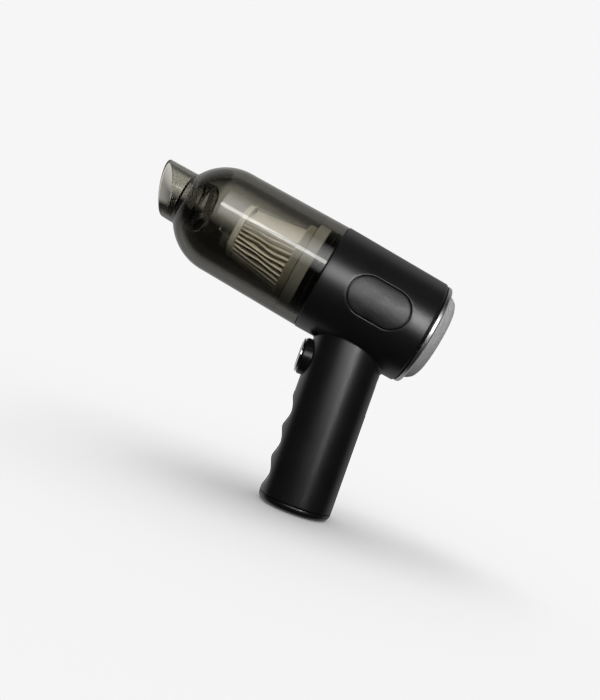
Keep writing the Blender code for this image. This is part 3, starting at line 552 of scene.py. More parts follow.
def under_barrel(x, y, inset):
    """Height of the barrel's underside, or of a surface inside it, over a point of the handle's plan."""
    seam = SEAM / MM
    z = np.full_like(x, 90.0)
    for _ in range(8):
        s = (x - seam.x) * ALONG.x + (z - seam.z) * ALONG.z
        v = -np.sqrt(np.maximum((barrel_radius(s) - inset) ** 2 - y**2, 0.0))
        z = seam.z + (v - (x - seam.x) * UP.x) / UP.z
    return z


def dipped(x, y, z):
    """The handle's front pushed back by the finger dips, with their crests rounded over."""
    soft = 0.9
    front = x.copy()
    for height in FINGERS:
        inside = np.clip(DIP_R**2 - (z - height) ** 2, 0.0, None)
        wall = np.where(inside > 0, DIP_X + np.sqrt(inside), -60.0)
        gap = np.clip(soft - np.abs(front - wall), 0.0, None)
        front = np.maximum(front, wall) + gap**2 / (4 * soft) * (wall > -50)
    return front


def make_web(s):
    """A rib across the barrel's inside, with round windows in it."""
    web = lathe("web", [(s - 1, 17.1), (s - 1, 28.8), (s + 1, 28.8), (s + 1, 17.1)],
                sides=96, exact=False, radius=0.05, steps=1, twist=0.9)
    windows = []
    for angle in (-45, 0, 45, 135, 180, 225):
        a = 22.6 * math.cos(math.radians(angle))
        b = 22.6 * math.sin(math.radians(angle))
        windows.append(rod("window", (s - 2, a, b), (s + 2, a, b), 4.2, BARREL, 24))
    return cut(web, "DIFFERENCE", joined("windows", windows))


def make_housing():
    """The barrel and the handle in one shell, split into its left and right halves."""
    count = 224
    x, y, out_x, out_y = oval(HALF_DEPTH, HALF_WIDTH, 0.0, count)
    crown = under_barrel(x, y, 0.0)
    corner = np.stack([x, y, crown], 1)
    # The saddle's fillet: an arc between the handle's wall and the barrel's underside at each point.
    seam = np.array(SEAM / MM)
    across = corner - seam
    across -= np.outer(across @ np.array(ALONG), np.array(ALONG))
    barrel_out = across / np.linalg.norm(across, axis=1)[:, None]
    wall_out = np.stack([out_x, out_y, np.zeros(count)], 1)
    slope = -np.einsum("ij,ij->i", barrel_out, wall_out) / barrel_out[:, 2]
    down = np.tile((0.0, 0.0, -1.0), (count, 1))
    away = wall_out + slope[:, None] * np.array((0.0, 0.0, 1.0))
    away /= np.linalg.norm(away, axis=1)[:, None]
    opening = np.arccos(np.einsum("ij,ij->i", down, away))
    reach = SADDLE_FILLET / np.tan(opening / 2)
    middle = down + away
    middle /= np.linalg.norm(middle, axis=1)[:, None]
    centre = corner + middle * (SADDLE_FILLET / np.sin(opening / 2))[:, None]
    first = (corner + down * reach[:, None] - centre) / SADDLE_FILLET
    last = (corner + away * reach[:, None] - centre) / SADDLE_FILLET
    sweep = np.pi - opening

    def on_fillet(share):
        a = np.sin((1 - share) * sweep) / np.sin(sweep)
        b = np.sin(share * sweep) / np.sin(sweep)
        return a[:, None] * first + b[:, None] * last

    rings = []
    foot_edge = 0.35
    for angle in np.linspace(0, np.pi / 2, 4):
        inset = foot_edge * (1 - math.sin(angle))
        height = np.full(count, HANDLE_FOOT + foot_edge * (1 - math.cos(angle)))
        rings.append(np.stack([x - out_x * inset, y - out_y * inset, height], 1))
    low = HANDLE_FOOT + foot_edge
    top = crown - reach
    rows = 130
    for step in range(1, rows + 1):
        z = low + (top - low) * step / rows
        rings.append(np.stack([dipped(x, y, z), y, z], 1))
    for ring in rings[:4]:
        ring[:, 0] = dipped(ring[:, 0], y, ring[:, 2])
    for share in np.linspace(0.12, 0.88, 7):
        rings.append(centre + on_fillet(share) * SADDLE_FILLET)
    tangent = on_fillet(0.88) - on_fillet(0.86)
    tangent /= np.linalg.norm(tangent, axis=1)[:, None]
    rings.append(rings[-1] + tangent * 0.55)
    rings.append(rings[-1] - barrel_out * 0.9 - wall_out * 0.6)
    bore_x, bore_y, _, _ = oval(BORE_HALF_DEPTH, BORE_HALF_WIDTH, BORE_X, count)
    rings.append(np.stack([bore_x, bore_y, under_barrel(bore_x, bore_y, 1.4)], 1))
    rings.append(np.stack([bore_x, bore_y, np.full(count, HANDLE_FOOT)], 1))
    handle = tube("handle", rings)

    length = BARREL_LENGTH
    shell = lathe("shell", [
        (0.12, 25.3), (0.12, FRONT_R, 0.35), (length - 1.0, barrel_radius(length - 1.0), 1.2),
        (length, REAR_R - 1.2, 0.3), (length, 27.3), (57.5, 27.3), (57.5, BORE_R), (2.0, BORE_R), (2.0, 25.3),
    ], exact=False, step=2.0, radius=0.3, steps=5)
    cut(shell, "UNION", handle)

    barrel_screws = [(s, v) for s in SCREW_S for v in (-SCREW_V, SCREW_V)]
    foot_screws = [(FOOT_SCREW_X, y_at) for y_at in (-FOOT_SCREW_Y, FOOT_SCREW_Y)]
    for web in [make_web(s) for s in SCREW_S]:
        cut(shell, "UNION", web)
    posts = [rod("post", (s, -15.8, v), (s, 15.8, v), 3.1, BARREL, 32) for s, v in barrel_screws]
    posts += [rod("post", (*spot, 7.9), (*spot, 18.0), 3.4, UPRIGHT, 32) for spot in foot_screws]
    cut(shell, "UNION", joined("posts", posts))
    holes = [rod("hole", (s, 10.5, v), (s, 34.0, v), 2.3, BARREL, 48) for s, v in barrel_screws]
    holes += [rod("hole", (s, -12.0, v), (s, 10.6, v), 1.25, BARREL, 24) for s, v in barrel_screws]
    holes += [rod("hole", (*spot, 4.0), (*spot, 17.0), 1.25, UPRIGHT, 24) for spot in foot_screws]
    holes.append(rod("hole", (-32, 0, 0), (-11.5, 0, 0), 10.7, BUTTON, 96))
    holes.append(tube("hole", [charge_ring(x_, 0.45) for x_ in (12.0, 26.0)], UPRIGHT, False))
    holes += [pocket_tool(side) for side in (-1, 1)]
    cut(shell, "DIFFERENCE", joined("holes", holes))
    sides = ((-1, "housing_shell_left", "housing_left"), (1, "housing_shell_right", "housing_right"))
    for side, name, node_name in sides:
        half = shell.copy()
        half.data = shell.data.copy()
        half.name = name
        bpy.context.scene.collection.objects.link(half)
        near, far = sorted((side * 0.07, side * 60.0))
        corners = ((-150, near), (-150, far), (150, far), (150, near))
        box = [np.array([(*corner, height) for corner in corners]) for height in (-50, 220)]
        cut(half, "INTERSECT", tube("keep", box, UPRIGHT, False))
        finish_piece(half, "housing", "housing_black", MATERIALS["housing_black"], node_name)
    bpy.data.objects.remove(shell, do_unlink=True)


def charge_ring(x, grow):
    """The charge slot's section at the handle's rear."""
    ring = []
    half_y = 4.45 + grow
    half_z = 1.6 + grow
    corner = 1.2 + grow
    for quarter, (sy, sz) in enumerate(((1, 1), (-1, 1), (-1, -1), (1, -1))):
        for step in range(9):
            angle = math.pi / 2 * (quarter + step / 8)
            y = sy * (half_y - corner) + corner * math.cos(angle)
            z = sz * (half_z - corner) + corner * math.sin(angle)
            ring.append((x, y, CHARGE_HEIGHT + z))
    return np.array(ring)


def racetrack(length, width, count=28):
    """A round-ended outline in the barrel's side view, as (along, up) points."""
    radius = width / 2
    reach = length / 2 - radius
    points = []
    for end, first in ((reach, -90), (-reach, 90)):
        for step in range(count + 1):
            angle = math.radians(first + 180 * step / count)
            points.append((PANEL_S + end + radius * math.cos(angle), radius * math.sin(angle)))
    return np.array(points)


def on_barrel(outline, side, depth):
    """An outline laid on the barrel's side at a depth below its surface."""
    s = outline[:, 0]
    v = outline[:, 1]
    r = barrel_radius(s) - depth
    return np.stack([s, side * np.sqrt(r**2 - v**2), v], 1)


def pocket_tool(side):
    """Cuts one panel's pocket, with a rounded rim."""
    length = PANEL_LENGTH + 2 * PANEL_GAP
    width = PANEL_WIDTH + 2 * PANEL_GAP
    floor_insets = (10.5, 8, 6, 4, 2, 0)
    rings = [on_barrel(racetrack(length - 2 * i, width - 2 * i), side, 1.5) for i in floor_insets]
    rim = 0.62
    for angle in (0, 15, 30, 45, 60, 75):
        turn = math.radians(angle)
        wider = 2 * rim * (1 - math.cos(turn))
        rings.append(on_barrel(racetrack(length + wider, width + wider), side, rim * (1 - math.sin(turn))))
    rings.append(on_barrel(racetrack(length + 3.7, width + 3.7), side, -0.35))
    rings += [on_barrel(racetrack(length - 2 * i, width - 2 * i), side, -0.4) for i in (2, 4, 6, 8, 10.5)]
    return tube("pocket", rings, BARREL, False)


def make_panels():
    """The pebbled inlays in the barrel's two sides."""
    names = ((-1, "side_inlay_left", "side_panel_left"), (1, "side_inlay_right", "side_panel_right"))
    for side, name, node_name in names:
        stations = [(inset, 1.1) for inset in (10.2, 8, 6, 4, 2)] + [(0.0, 1.1), (0.0, 0.5)]
        for angle in (22, 45, 68, 90):
            turn = math.radians(angle)
            stations.append((0.45 * (1 - math.cos(turn)), 0.05 + 0.45 * (1 - math.sin(turn))))
        stations += [(inset, 0.05) for inset in (1.2, 2, 3, 4, 5, 6, 7, 8, 9, 10.2)]
        outlines = [(racetrack(PANEL_LENGTH - 2 * i, PANEL_WIDTH - 2 * i), depth) for i, depth in stations]
        rings = [on_barrel(outline, side, depth) for outline, depth in outlines]
        inlay = tube(name, rings, BARREL, False)
        finish_piece(inlay, "housing", "panel_black", MATERIALS["panel_black"], node_name)


def make_foot():
    """The bevelled cap under the handle."""
    count = 224
    x, y, out_x, out_y = oval(HALF_DEPTH, HALF_WIDTH, 0.0, count)
    rings = []
    bevel = 3.2
    for share in (0.08, 0.3, 0.55, 0.8):
        rings.append(np.stack([x * share, y * share, np.zeros(count)], 1))
    for angle in np.linspace(0, math.pi / 2, 12):
        inset = bevel * (1 - math.sin(angle))
        height = np.full(count, bevel * (1 - math.cos(angle)))
        rings.append(np.stack([x - out_x * inset, y - out_y * inset, height], 1))
    for inset, height in ((0.0, 3.8), (0.09, 4.01), (0.3, 4.1)):
        rings.append(np.stack([x - out_x * inset, y - out_y * inset, np.full(count, height)], 1))
    lip_x, lip_y, lip_ox, lip_oy = oval(BORE_HALF_DEPTH - 0.35, BORE_HALF_WIDTH - 0.35, BORE_X, count)
    for inset, height in ((0.0, 4.1), (0.0, 7.6), (1.85, 7.6), (1.85, 3.2)):
        rings.append(np.stack([lip_x - lip_ox * inset, lip_y - lip_oy * inset, np.full(count, height)], 1))
    rings.append(np.stack([x * 0.08 + BORE_X, y * 0.08, np.full(count, 3.2)], 1))
    foot = tube("foot_cap", rings, UPRIGHT, False)
    spots = [(FOOT_SCREW_X, y_at) for y_at in (-FOOT_SCREW_Y, FOOT_SCREW_Y)]
    posts = [rod("post", (*spot, 2.9), (*spot, 7.5), 2.6) for spot in spots]
    cut(foot, "UNION", joined("posts", posts))
    holes = [rod("hole", (*spot, 2.5), (*spot, 9.0), 1.25, sides=24) for spot in spots]
    holes += [rod("hole", (*spot, -1.0), (*spot, 2.6), 2.3) for spot in spots]
    cut(foot, "DIFFERENCE", joined("holes", holes))
    finish_piece(foot, "housing", "housing_black", MATERIALS["housing_black"], "handle_base_cap")


def make_rear():
    """The bright ring behind the barrel and the slotted grey plate in it."""
    end = BARREL_LENGTH
    ring = lathe("trim_ring", [
        (end + 0.3, 26.9), (end + 0.3, 29.75, 0.4), (end + 2.2, 29.4, 0.8), (end + 2.8, 28.8, 0.5),
        (end + 3.0, 26.4, 0.3), (end + 1.6, 26.3), (end + 1.6, 24.9), (end - 6.0, 24.9), (end - 6.0, 26.9),
    ], radius=0.15)
    finish_piece(ring, "housing", "silver", MATERIALS["silver"], "rear_trim_ring")
    cover = lathe("exhaust_grille", [
        (end + 7.3, 0.0), (end + 7.3, 19.6, 1.2), (end + 6.2, 21.6, 1.2), (end + 3.9, 23.2, 1.0),
        (end + 1.9, 23.6), (end + 1.9, 26.0, 0.4), (end + 3.3, 26.0, 0.5), (end + 5.5, 25.0, 4.0),
        (end + 7.9, 23.2, 4.0), (end + 9.1, 20.4, 1.5), (end + 9.1, 0.0),
    ], exact=False, radius=0.2, steps=6)
    slot_count = 12
    slot_half = 0.95
    outline = []
    for centre, first in ((17.6 - slot_half, 0), (8.0 + slot_half, 180)):
        for step in range(13):
            angle = math.radians(first + 180 * step / 12)
            outline.append((slot_half * math.cos(angle), centre + slot_half * math.sin(angle)))
    rings = [np.array([(end + depth, a, b) for a, b in outline]) for depth in (5.0, 11.0)]
    slots = []
    for index in range(slot_count):
        turn = Matrix.Rotation(2 * math.pi * index / slot_count, 4, "X")
        slots.append(tube("slot", rings, BARREL @ turn, False))
    cut(cover, "DIFFERENCE", joined("slots", slots))
    finish_piece(cover, "housing", "grey_plastic", MATERIALS["grey_plastic"], "exhaust_cover")


# ---------------------------------------------------------------- cup and filter


def make_cup():
    """Cup, dome, slanted nozzle and intake tube as one clear moulding."""
    arc_steps = 22

    def arc(radius, start, end):
        angles = [math.radians(start + (end - start) * k / arc_steps) for k in range(arc_steps + 1)]
        return [(CUP_FRONT + radius * math.cos(a), radius * math.sin(a)) for a in angles]

    nozzle_root = 180 - math.degrees(math.asin((NOZZLE_R + 1.2) / CUP_R))
    intake_root = 180 - math.degrees(math.asin(INTAKE_R / CUP_BORE_R))
    neck = CUP_FRONT - math.sqrt(CUP_R**2 - NOZZLE_R**2)
    profile = [(-0.12, 25.75, 0.15), (-0.12, 30.72, 0.45), (-57.0, CUP_R)]
    profile += arc(CUP_R, 90, nozzle_root)
    profile += [(neck - 0.9, NOZZLE_R + 0.15, 1.6), (NOZZLE_TIP, NOZZLE_R - 0.15, 0.9)]
    profile += [(NOZZLE_TIP, NOZZLE_BORE_R, 0.7), (-75.0, NOZZLE_BORE_R, 0.8), (-75.0, INTAKE_R, 0.8)]
    profile += [(p[0], p[1], 1.0) for p in arc(CUP_BORE_R, intake_root, 90)]
    profile += [(-14.0, 25.4), (-14.0, 25.75)]
    points, normals, ring = rounded(profile, 0.2, 8)
    verts, faces, norms = revolve(points, normals, ring, ROUND)
    # The mouth's lip leans: its points slide along the nozzle with their height.
    slant = 10.1 / 30.2
    lip = verts[:, 0] < NOZZLE_TIP + 1.2
    norms[lip, 2] += slant * norms[lip, 0]
    norms /= np.linalg.norm(norms, axis=1)[:, None]
    verts[lip, 0] -= slant * verts[lip, 2]
    turned = norms @ np.array(BARREL.to_3x3()).T
    cup = make("clear_cup", place(verts, BARREL), faces, turned)
    finish_piece(cup, "cup", "smoked_clear", MATERIALS["smoked_clear"], "dust_cup")


def make_spigot():
    """The collar that the cup slides over, with its seal ring in a groove."""
    nose = -12.5
    spigot = lathe("spigot", [
        (nose, 0.0), (nose, 18.5, 0.5), (-7.0, 18.5), (-7.0, 25.0, 0.4), (-4.6, 25.0, 0.2), (-4.6, 23.9),
        (-2.2, 23.9), (-2.2, 25.0, 0.2), (2.3, 25.0), (2.3, 27.7), (4.8, 27.7), (4.8, 22.4), (-5.0, 22.4),
        (-5.0, 16.7), (nose + 1.6, 16.7), (nose + 1.6, 0.0),
    ], exact=False, radius=0.15)
    holes = [rod("hole", (nose - 2, 0, 0), (nose + 4, 0, 0), 4.6, BARREL, 64)]
    for index in range(6):
        angle = 2 * math.pi * index / 6
        a = 11.0 * math.cos(angle)
        b = 11.0 * math.sin(angle)
        holes.append(rod("hole", (nose - 2, a, b), (nose + 4, a, b), 3.2, BARREL, 48))
    cut(spigot, "DIFFERENCE", joined("holes", holes))
    finish_piece(spigot, "housing", "trim_black", MATERIALS["trim_black"], "front_spigot")
    turns = [2 * math.pi * k / 20 for k in range(20)]
    seal = [(-3.4 + 0.62 * math.cos(a), 24.78 + 0.62 * math.sin(a)) for a in turns]
    ring = lathe("seal_ring", seal, radius=0.01)
    finish_piece(ring, "housing", "rubber", MATERIALS["rubber"], "cup_seal_ring")


def media_radius(s):
    """The filter cone's radius at a place along the barrel."""
    share = (s - FILTER_FRONT) / (FILTER_REAR - FILTER_FRONT)
    return FILTER_FRONT_R + (FILTER_REAR_R - FILTER_FRONT_R) * share


def around(angle, radius, s):
    """Barrel points at angles, in degrees from the left side towards the top."""
    turn = np.radians(angle)
    return np.stack([np.broadcast_to(s, np.shape(radius)), -radius * np.cos(turn), radius * np.sin(turn)], -1)


def make_media():
    """The pleated paper: thirty folds round three quarters of the cone, each wandering a little."""
    per_fold = 10
    fine = np.arange(PLEATS * per_fold + 1)
    fold = fine / per_fold
    draw = np.random.default_rng(5)
    bends = draw.normal(0, 1, (3, PLEATS + 1))
    rings = []
    rows = 44
    for row in range(rows + 1):
        t = row / rows
        s = MEDIA_FRONT + (MEDIA_REAR - MEDIA_FRONT) * t
        ends = math.sin(math.pi * t)
        sway = (bends[0] * math.sin(math.pi * t) + bends[1] * math.sin(2 * math.pi * t) * 0.7) * 0.16
        sway += 0.10 * bends[2] * math.sin(3 * math.pi * t)
        sway[0] = sway[-1] = 0.0
        shift = np.interp(fold, np.arange(PLEATS + 1), sway)
        angle = MEDIA_START + MEDIA_SWEEP * (fold + shift * ends) / PLEATS
        wave = (0.5 - 0.5 * np.cos(2 * np.pi * fold)) ** 0.8
        outer = media_radius(s) - 0.3 - PLEAT_DEPTH * wave
        ring_out = around(angle, outer, s)
        ring_in = around(angle, outer - PAPER, s)
        rings.append(np.concatenate([ring_out, ring_in[::-1]]))
    paper = tube("pleated_paper", rings, BARREL, False, edge_angle=70)
    finish_piece(paper, "filter", "filter_paper", MATERIALS["filter_paper"], "filter_media")


def make_filter_frame():
    """Base ring, front cap, plain panel and three ribs as one moulding, and the gasket on the ring."""
    cap = FILTER_FRONT
    base = lathe("filter_cage", [
        (-18.7, 16.2), (-18.7, 22.0, 0.4), (-14.1, 22.3, 0.3), (-14.1, 20.6), (-7.5, 20.6), (-7.5, 18.8),
        (-17.2, 18.8), (-17.2, 16.2),
    ], exact=False, sides=160, radius=0.2)
    front = lathe("front", [
        (cap, 0.0), (cap, 14.6, 0.9), (cap + 0.5, 15.2, 0.5), (cap + 3.6, 15.9, 0.3), (cap + 3.6, 13.9),
        (cap + 1.6, 13.5), (cap + 1.6, 0.0),
    ], exact=False, sides=160, radius=0.2)
    rings = []
    half = math.radians(FLAT_HALF)
    for s, radius in ((-51.9, 15.6), (-17.6, 21.8)):
        out = radius * math.cos(half)
        wide = radius * math.sin(half)
        corners = []
        for depth, width in ((out, wide), (out, -wide), (out - 1.3, -wide + 1.3), (out - 1.3, wide - 1.3)):
            angle = FLAT_CENTRE + math.degrees(math.atan2(width, depth))
            corners.append(around(angle, math.hypot(depth, width), s))
        rings.append(np.array(corners))
    panel = tube("panel", rings, BARREL, False)
    ribs = []
    for angle in (160.0, 255.0, 350.0):
        turn = Matrix.Rotation(math.radians(90.0 - angle), 4, "X")
        rings = []
        for s, low, high in ((-52.3, 9.6, 11.8), (-18.0, 16.5, 17.5)):
            rings.append(np.array([(s, -0.8, low), (s, -0.8, high), (s, 0.8, high), (s, 0.8, low)]))
        ribs.append(tube("rib", rings, BARREL @ turn, False))
    cut(base, "UNION", front)
    cut(base, "UNION", panel)
    cut(base, "UNION", joined("ribs", ribs))
    finish_piece(base, "filter", "filter_beige", MATERIALS["filter_beige"], "filter_frame")
    gasket = lathe("filter_seal", [
        (-13.8, 20.9), (-13.8, 24.3, 0.4), (-13.4, 24.8, 0.3), (-7.3, 24.8, 0.4), (-7.3, 20.9)], radius=0.2)
    finish_piece(gasket, "filter", "gasket_grey", MATERIALS["gasket_grey"], "filter_gasket")


# ---------------------------------------------------------------- button and small parts


def make_button():
    """The button's bezel, its bright rim and the key that is pressed."""
    collar = lathe("button_bezel", [
        (-23.9, 8.8), (-23.9, 9.6, 0.5), (-23.0, 10.4, 0.9), (-15.4, 10.4), (-15.4, 3.4), (-16.6, 3.4),
        (-16.6, 8.8),
    ], BUTTON, 128, radius=0.12)
    finish_piece(collar, "housing", "trim_black", MATERIALS["trim_black"], "button_collar")
    ring = lathe("button_rim", [
        (-22.7, 7.95), (-22.7, 8.5), (-24.2, 8.5), (-24.2, 9.7, 0.15), (-24.6, 9.7, 0.25),
        (-25.2, 8.7, 0.35), (-25.2, 7.95, 0.2),
    ], BUTTON, 128, radius=0.08)
    finish_piece(ring, "housing", "chrome", MATERIALS["chrome"], "button_ring")
    cap = lathe("button_key", [
        (-12.6, 0.0), (-12.6, 2.5), (-21.2, 2.5), (-21.2, 8.4), (-22.4, 8.4), (-22.4, 7.65),
        (-25.1, 7.65, 0.5), (-25.5, 7.15, 0.5), (-25.35, 5.0), (-25.2, 0.0),
    ], BUTTON, 128, radius=0.12)
    finish_piece(cap, "button", "trim_black", MATERIALS["trim_black"], "button_cap")


def make_screw_mesh():
    """A pan-head screw with a cross recess, about local X, its head to +X."""
    head = 1.5
    body = lathe("screw", [
        (-10.0, 0.0), (-9.0, 1.0), (0.0, 1.0), (0.0, 2.0, 0.15), (head * 0.5, 2.0, 0.5),
        (head, 1.3, 0.4), (head, 0.0),
    ], UPRIGHT, 48, exact=False, radius=0.1)
    bars = []
    for turn in (0.0, math.pi / 2):
        spin_x = Matrix.Rotation(turn + 0.3, 4, "X")
        rings = []
        for depth, half in ((head - 0.9, 0.35), (head + 0.3, 1.15)):
            corners = ((-half, -0.26), (half, -0.26), (half, 0.26), (-half, 0.26))
            rings.append(np.array([(depth, *corner) for corner in corners]))
        bars.append(tube("bar", rings, spin_x, False))
    cut(body, "DIFFERENCE", bars[0])
    cut(body, "DIFFERENCE", bars[1])
    mesh = body.data
    mesh.materials.clear()
    mesh.materials.append(MATERIALS["steel"])
    bpy.data.objects.remove(body, do_unlink=True)
    return mesh


def make_screws():
    """Four screws into the barrel from its right side, and two up into the foot."""
    mesh = make_screw_mesh()
    spots = []
    for s in SCREW_S:
        for v in (-SCREW_V, SCREW_V):
            seat = Matrix.Translation(Vector((s, SCREW_DEPTH, v)) * MM)
            turn = BARREL @ seat @ Matrix.Rotation(math.pi / 2, 4, "Z")
            spots.append((f"housing_screw_{len(spots) + 1}", turn))
    for number, y in ((1, -FOOT_SCREW_Y), (2, FOOT_SCREW_Y)):
        seat = Matrix.Translation(Vector((FOOT_SCREW_X, y, 2.3)) * MM)
        spots.append((f"base_screw_{number}", seat @ Matrix.Rotation(math.pi / 2, 4, "Y")))
    for name, matrix in spots:
        own = mesh.copy()
        own.transform(matrix)
        screw = bpy.data.objects.new(f"cross_{name}", own)
        bpy.context.scene.collection.objects.link(screw)
        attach(screw, "housing")
        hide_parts(name)


make_housing()
make_panels()
make_foot()
make_rear()
make_cup()
make_spigot()
make_media()
make_filter_frame()
make_button()
make_screws()

# ---------------------------------------------------------------- stage


def make_camera():
    """In front of the object's left side, rolled so that the handle leans as it does in a hand."""
    data = bpy.data.cameras.new("camera")
    camera = bpy.data.objects.new("camera", data)
    bpy.context.scene.collection.objects.link(camera)
    bpy.context.scene.camera = camera
    data.lens = 34.36
    data.clip_start = 0.01
    data.clip_end = 50.0
    camera.location = Vector((-17.7, -371.4, 84.0)) * MM
    line = Vector((-25.5, 0.0, 83.5)) * MM - camera.location
    roll = Quaternion((0, 0, 1), math.radians(19.52))
    camera.rotation_mode = "QUATERNION"
    camera.rotation_quaternion = line.to_track_quat("-Z", "Y") @ roll


def lamp(name, place_at, size, long_axis, target, power, glossy=True, spread_angle=180.0):
    """A rectangular soft box, in metres and watts. Its length lies along long_axis."""
    data = bpy.data.lights.new(name, "AREA")
    data.shape = "RECTANGLE"
    data.size = size[0]
    data.size_y = size[1]
    data.energy = power
    data.spread = math.radians(spread_angle)
    box = bpy.data.objects.new(name, data)
    bpy.context.scene.collection.objects.link(box)
    back = (Vector(place_at) - Vector(target)).normalized()
    side = Vector(long_axis)
    side = (side - back * side.dot(back)).normalized()
    turn = Matrix((side, back.cross(side), back)).transposed()
    box.matrix_world = Matrix.Translation(place_at) @ turn.to_4x4()
    box.visible_camera = False
    box.visible_glossy = glossy
    box.visible_transmission = glossy
    return box


def reaching_only(name, lamps, items):
    """Lamps that light nothing but these objects."""
    group = bpy.data.collections.new(name)
    for item in items:
        group.objects.link(item)
    for box in lamps:
        box.light_linking.receiver_collection = group


def off_side(degrees):
    """A direction across the barrel, from its left side towards its top."""
    return -ACROSS * math.cos(math.radians(degrees)) + UP * math.sin(math.radians(degrees))


def light_the_pieces():
    """Soft boxes whose reflections run along the barrel and the handle, and light for the filter."""
    pieces = [item for item in bpy.context.scene.objects if item.type == "MESH"]
    by_name = {item.name: item for item in pieces}
    cup = by_name["clear_cup"]

    cup_middle = SEAM + ALONG * -0.03
    strip_aim = cup_middle - ALONG * 0.02
    strip = lamp("strip", strip_aim + off_side(22.5) * 0.6, (0.42, 0.075), ALONG, strip_aim, 0.82)
    body_middle = SEAM + ALONG * 0.02
    broad = lamp("broad", body_middle + off_side(15.5) * 0.6, (0.75, 0.34), ALONG, body_middle, 0.18,
                 spread_angle=44.0)
    glow_aim = cup_middle - ALONG * 0.005
    glow = lamp("glow", glow_aim - ALONG * 0.095 + off_side(29) * 0.6, (0.24, 0.74), ALONG, glow_aim, 0.27,
                spread_angle=64.0)
    grip_middle = Vector((0, 0, 0.06))
    turn = math.radians(14)
    before_grip = Vector((math.sin(turn) * 0.7, -math.cos(turn) * 0.7, 0.14))
    upright = lamp("upright", grip_middle + before_grip, (0.60, 0.032), (0, 0, 1), grip_middle, 0.08,
                   spread_angle=50.0)
    rear_end = SEAM + ALONG * 0.062
    rear = lamp("rear_box", rear_end + off_side(25) * 0.45 + ALONG * 0.18, (0.30, 0.30), ALONG, rear_end, 0.6)
    key = lamp("filter_key", cup_middle + off_side(38) * 0.5, (0.22, 0.22), ALONG, cup_middle, 5.2,
               glossy=False)
    overhead = lamp("overhead", (-0.1, 0.1, 0.9), (0.9, 0.9), (1, 0, 0), (0, 0, 0.05), 4.0, glossy=False)

    reaching_only("lit_by_broad", [broad], [item for item in pieces if item is not cup])
    reaching_only("lit_by_glow", [strip, glow], [cup])
    reaching_only("lit_by_upright", [upright], pieces)
    reaching_only("lit_by_rear_box", [rear], [by_name["trim_ring"], by_name["exhaust_grille"]])
    filter_names = ("filter_cage", "pleated_paper", "filter_seal")
    reaching_only("lit_by_key", [key], [by_name[name] for name in filter_names])
    reaching_only("lit_by_overhead", [overhead], pieces)


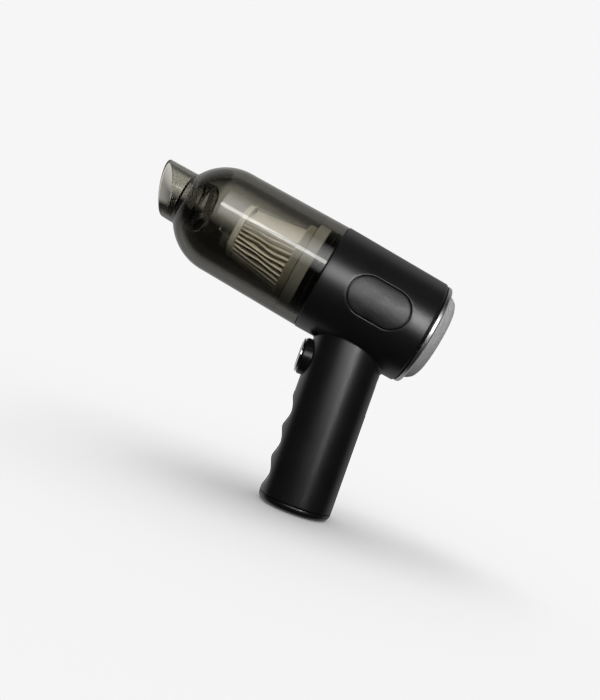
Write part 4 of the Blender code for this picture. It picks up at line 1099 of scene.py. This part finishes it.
def make_world():
    """A pale backdrop for the camera, a dim room for reflections, and a dark card low behind the cup that
    shows through clear plastic alone."""
    world = bpy.data.worlds.new("studio")
    bpy.context.scene.world = world
    world.use_nodes = True
    sky = world.node_tree
    sky.nodes.clear()

    def ramp(socket, start, end, low, high, smooth=True):
        made = node(sky, "ShaderNodeMapRange", {
            "Value": socket, "From Min": start, "From Max": end, "To Min": low, "To Max": high})
        made.interpolation_type = "SMOOTHSTEP" if smooth else "LINEAR"
        return made.outputs["Result"]

    def combine(operation, first, second):
        return node(sky, "ShaderNodeMath", {0: first, 1: second}, operation=operation).outputs[0]

    path = node(sky, "ShaderNodeLightPath")
    camera_ray = path.outputs["Is Camera Ray"]
    way = node(sky, "ShaderNodeTexCoord").outputs["Generated"]
    parts = node(sky, "ShaderNodeSeparateXYZ", {"Vector": way})
    lean = node(sky, "ShaderNodeVectorMath", {0: way, 1: tuple(UP)}, operation="DOT_PRODUCT").outputs["Value"]

    behind = ramp(parts.outputs["Y"], 0.05, 0.5, 0.008, 0.34)
    aside = ramp(parts.outputs["X"], 0.2, -0.7, 1.0, 1.9, smooth=False)
    room = node(sky, "ShaderNodeBackground", {"Strength": combine("MULTIPLY", behind, aside)})

    above = ramp(lean, 0.066, 0.146, 0.0, 2.0)
    ahead = ramp(parts.outputs["X"], -0.24, -0.28, 1.0, 0.3, smooth=False)
    beside = ramp(parts.outputs["X"], -0.246, -0.276, 0.0, 0.75)
    level = ramp(lean, 0.03, 0.07, 0.0, 1.0)
    high = ramp(lean, 0.22, 0.40, 1.0, 0.25)
    below = ramp(lean, -0.2, -0.45, 0.04, 0.34)
    front = ramp(parts.outputs["Y"], -0.3, 0.4, 0.12, 1.0)
    open_sky = combine("MAXIMUM", combine("MULTIPLY", above, ahead), combine("MULTIPLY", beside, level))
    open_sky = combine("MAXIMUM", combine("MULTIPLY", open_sky, high), below)
    open_sky = combine("MULTIPLY", open_sky, front)
    shown = ramp(camera_ray, 0.0, 1.0, open_sky, 1.0, smooth=False)
    pale = node(sky, "ShaderNodeBackground", {"Color": (0.9226, 0.9226, 0.9226, 1.0), "Strength": shown})

    mix = node(sky, "ShaderNodeMixShader", {
        "Fac": combine("MAXIMUM", camera_ray, path.outputs["Is Transmission Ray"]),
        1: room.outputs["Background"], 2: pale.outputs["Background"]})
    node(sky, "ShaderNodeOutputWorld", {"Surface": mix.outputs["Shader"]})


def make_floor():
    """A white floor that only takes the shadows, with lamps of its own."""
    mesh = bpy.data.meshes.new("floor")
    half = 1.0
    corners = [(-half, -half, 0), (half, -half, 0), (half, half, 0), (-half, half, 0)]
    mesh.from_pydata(corners, [], [(0, 1, 2, 3)])
    floor = bpy.data.objects.new("floor", mesh)
    floor.location = (0, 0, -0.0003)
    bpy.context.scene.collection.objects.link(floor)
    mesh.materials.append(moulded("floor_paper", grey(0.78), grey(0.80), (0.85, 0.95), grain=0.8,
                                  relief=0.002, patch=60.0))
    floor.is_shadow_catcher = True
    floor.visible_diffuse = False
    floor.visible_glossy = False
    floor.visible_transmission = False
    down = {"long_axis": (1, 0, 0), "target": (0, 0, 0), "glossy": False}
    wide = lamp("floor_wide", (0.0, 0.0, 0.9), (3.0, 3.0), power=36.0, **down)
    wash = lamp("floor_wash", (-0.35, 0.04, 0.9), (0.35, 0.35), power=5.0, **down)
    fill = lamp("floor_fill", (0.0, 0.0, 1.2), (1.4, 1.4), power=24.0, **down)
    fill.data.use_shadow = False
    reaching_only("lit_by_wash", [wide, wash, fill], [floor])


make_camera()
light_the_pieces()
make_world()
bpy.context.scene.view_settings.view_transform = "Standard"
make_floor()
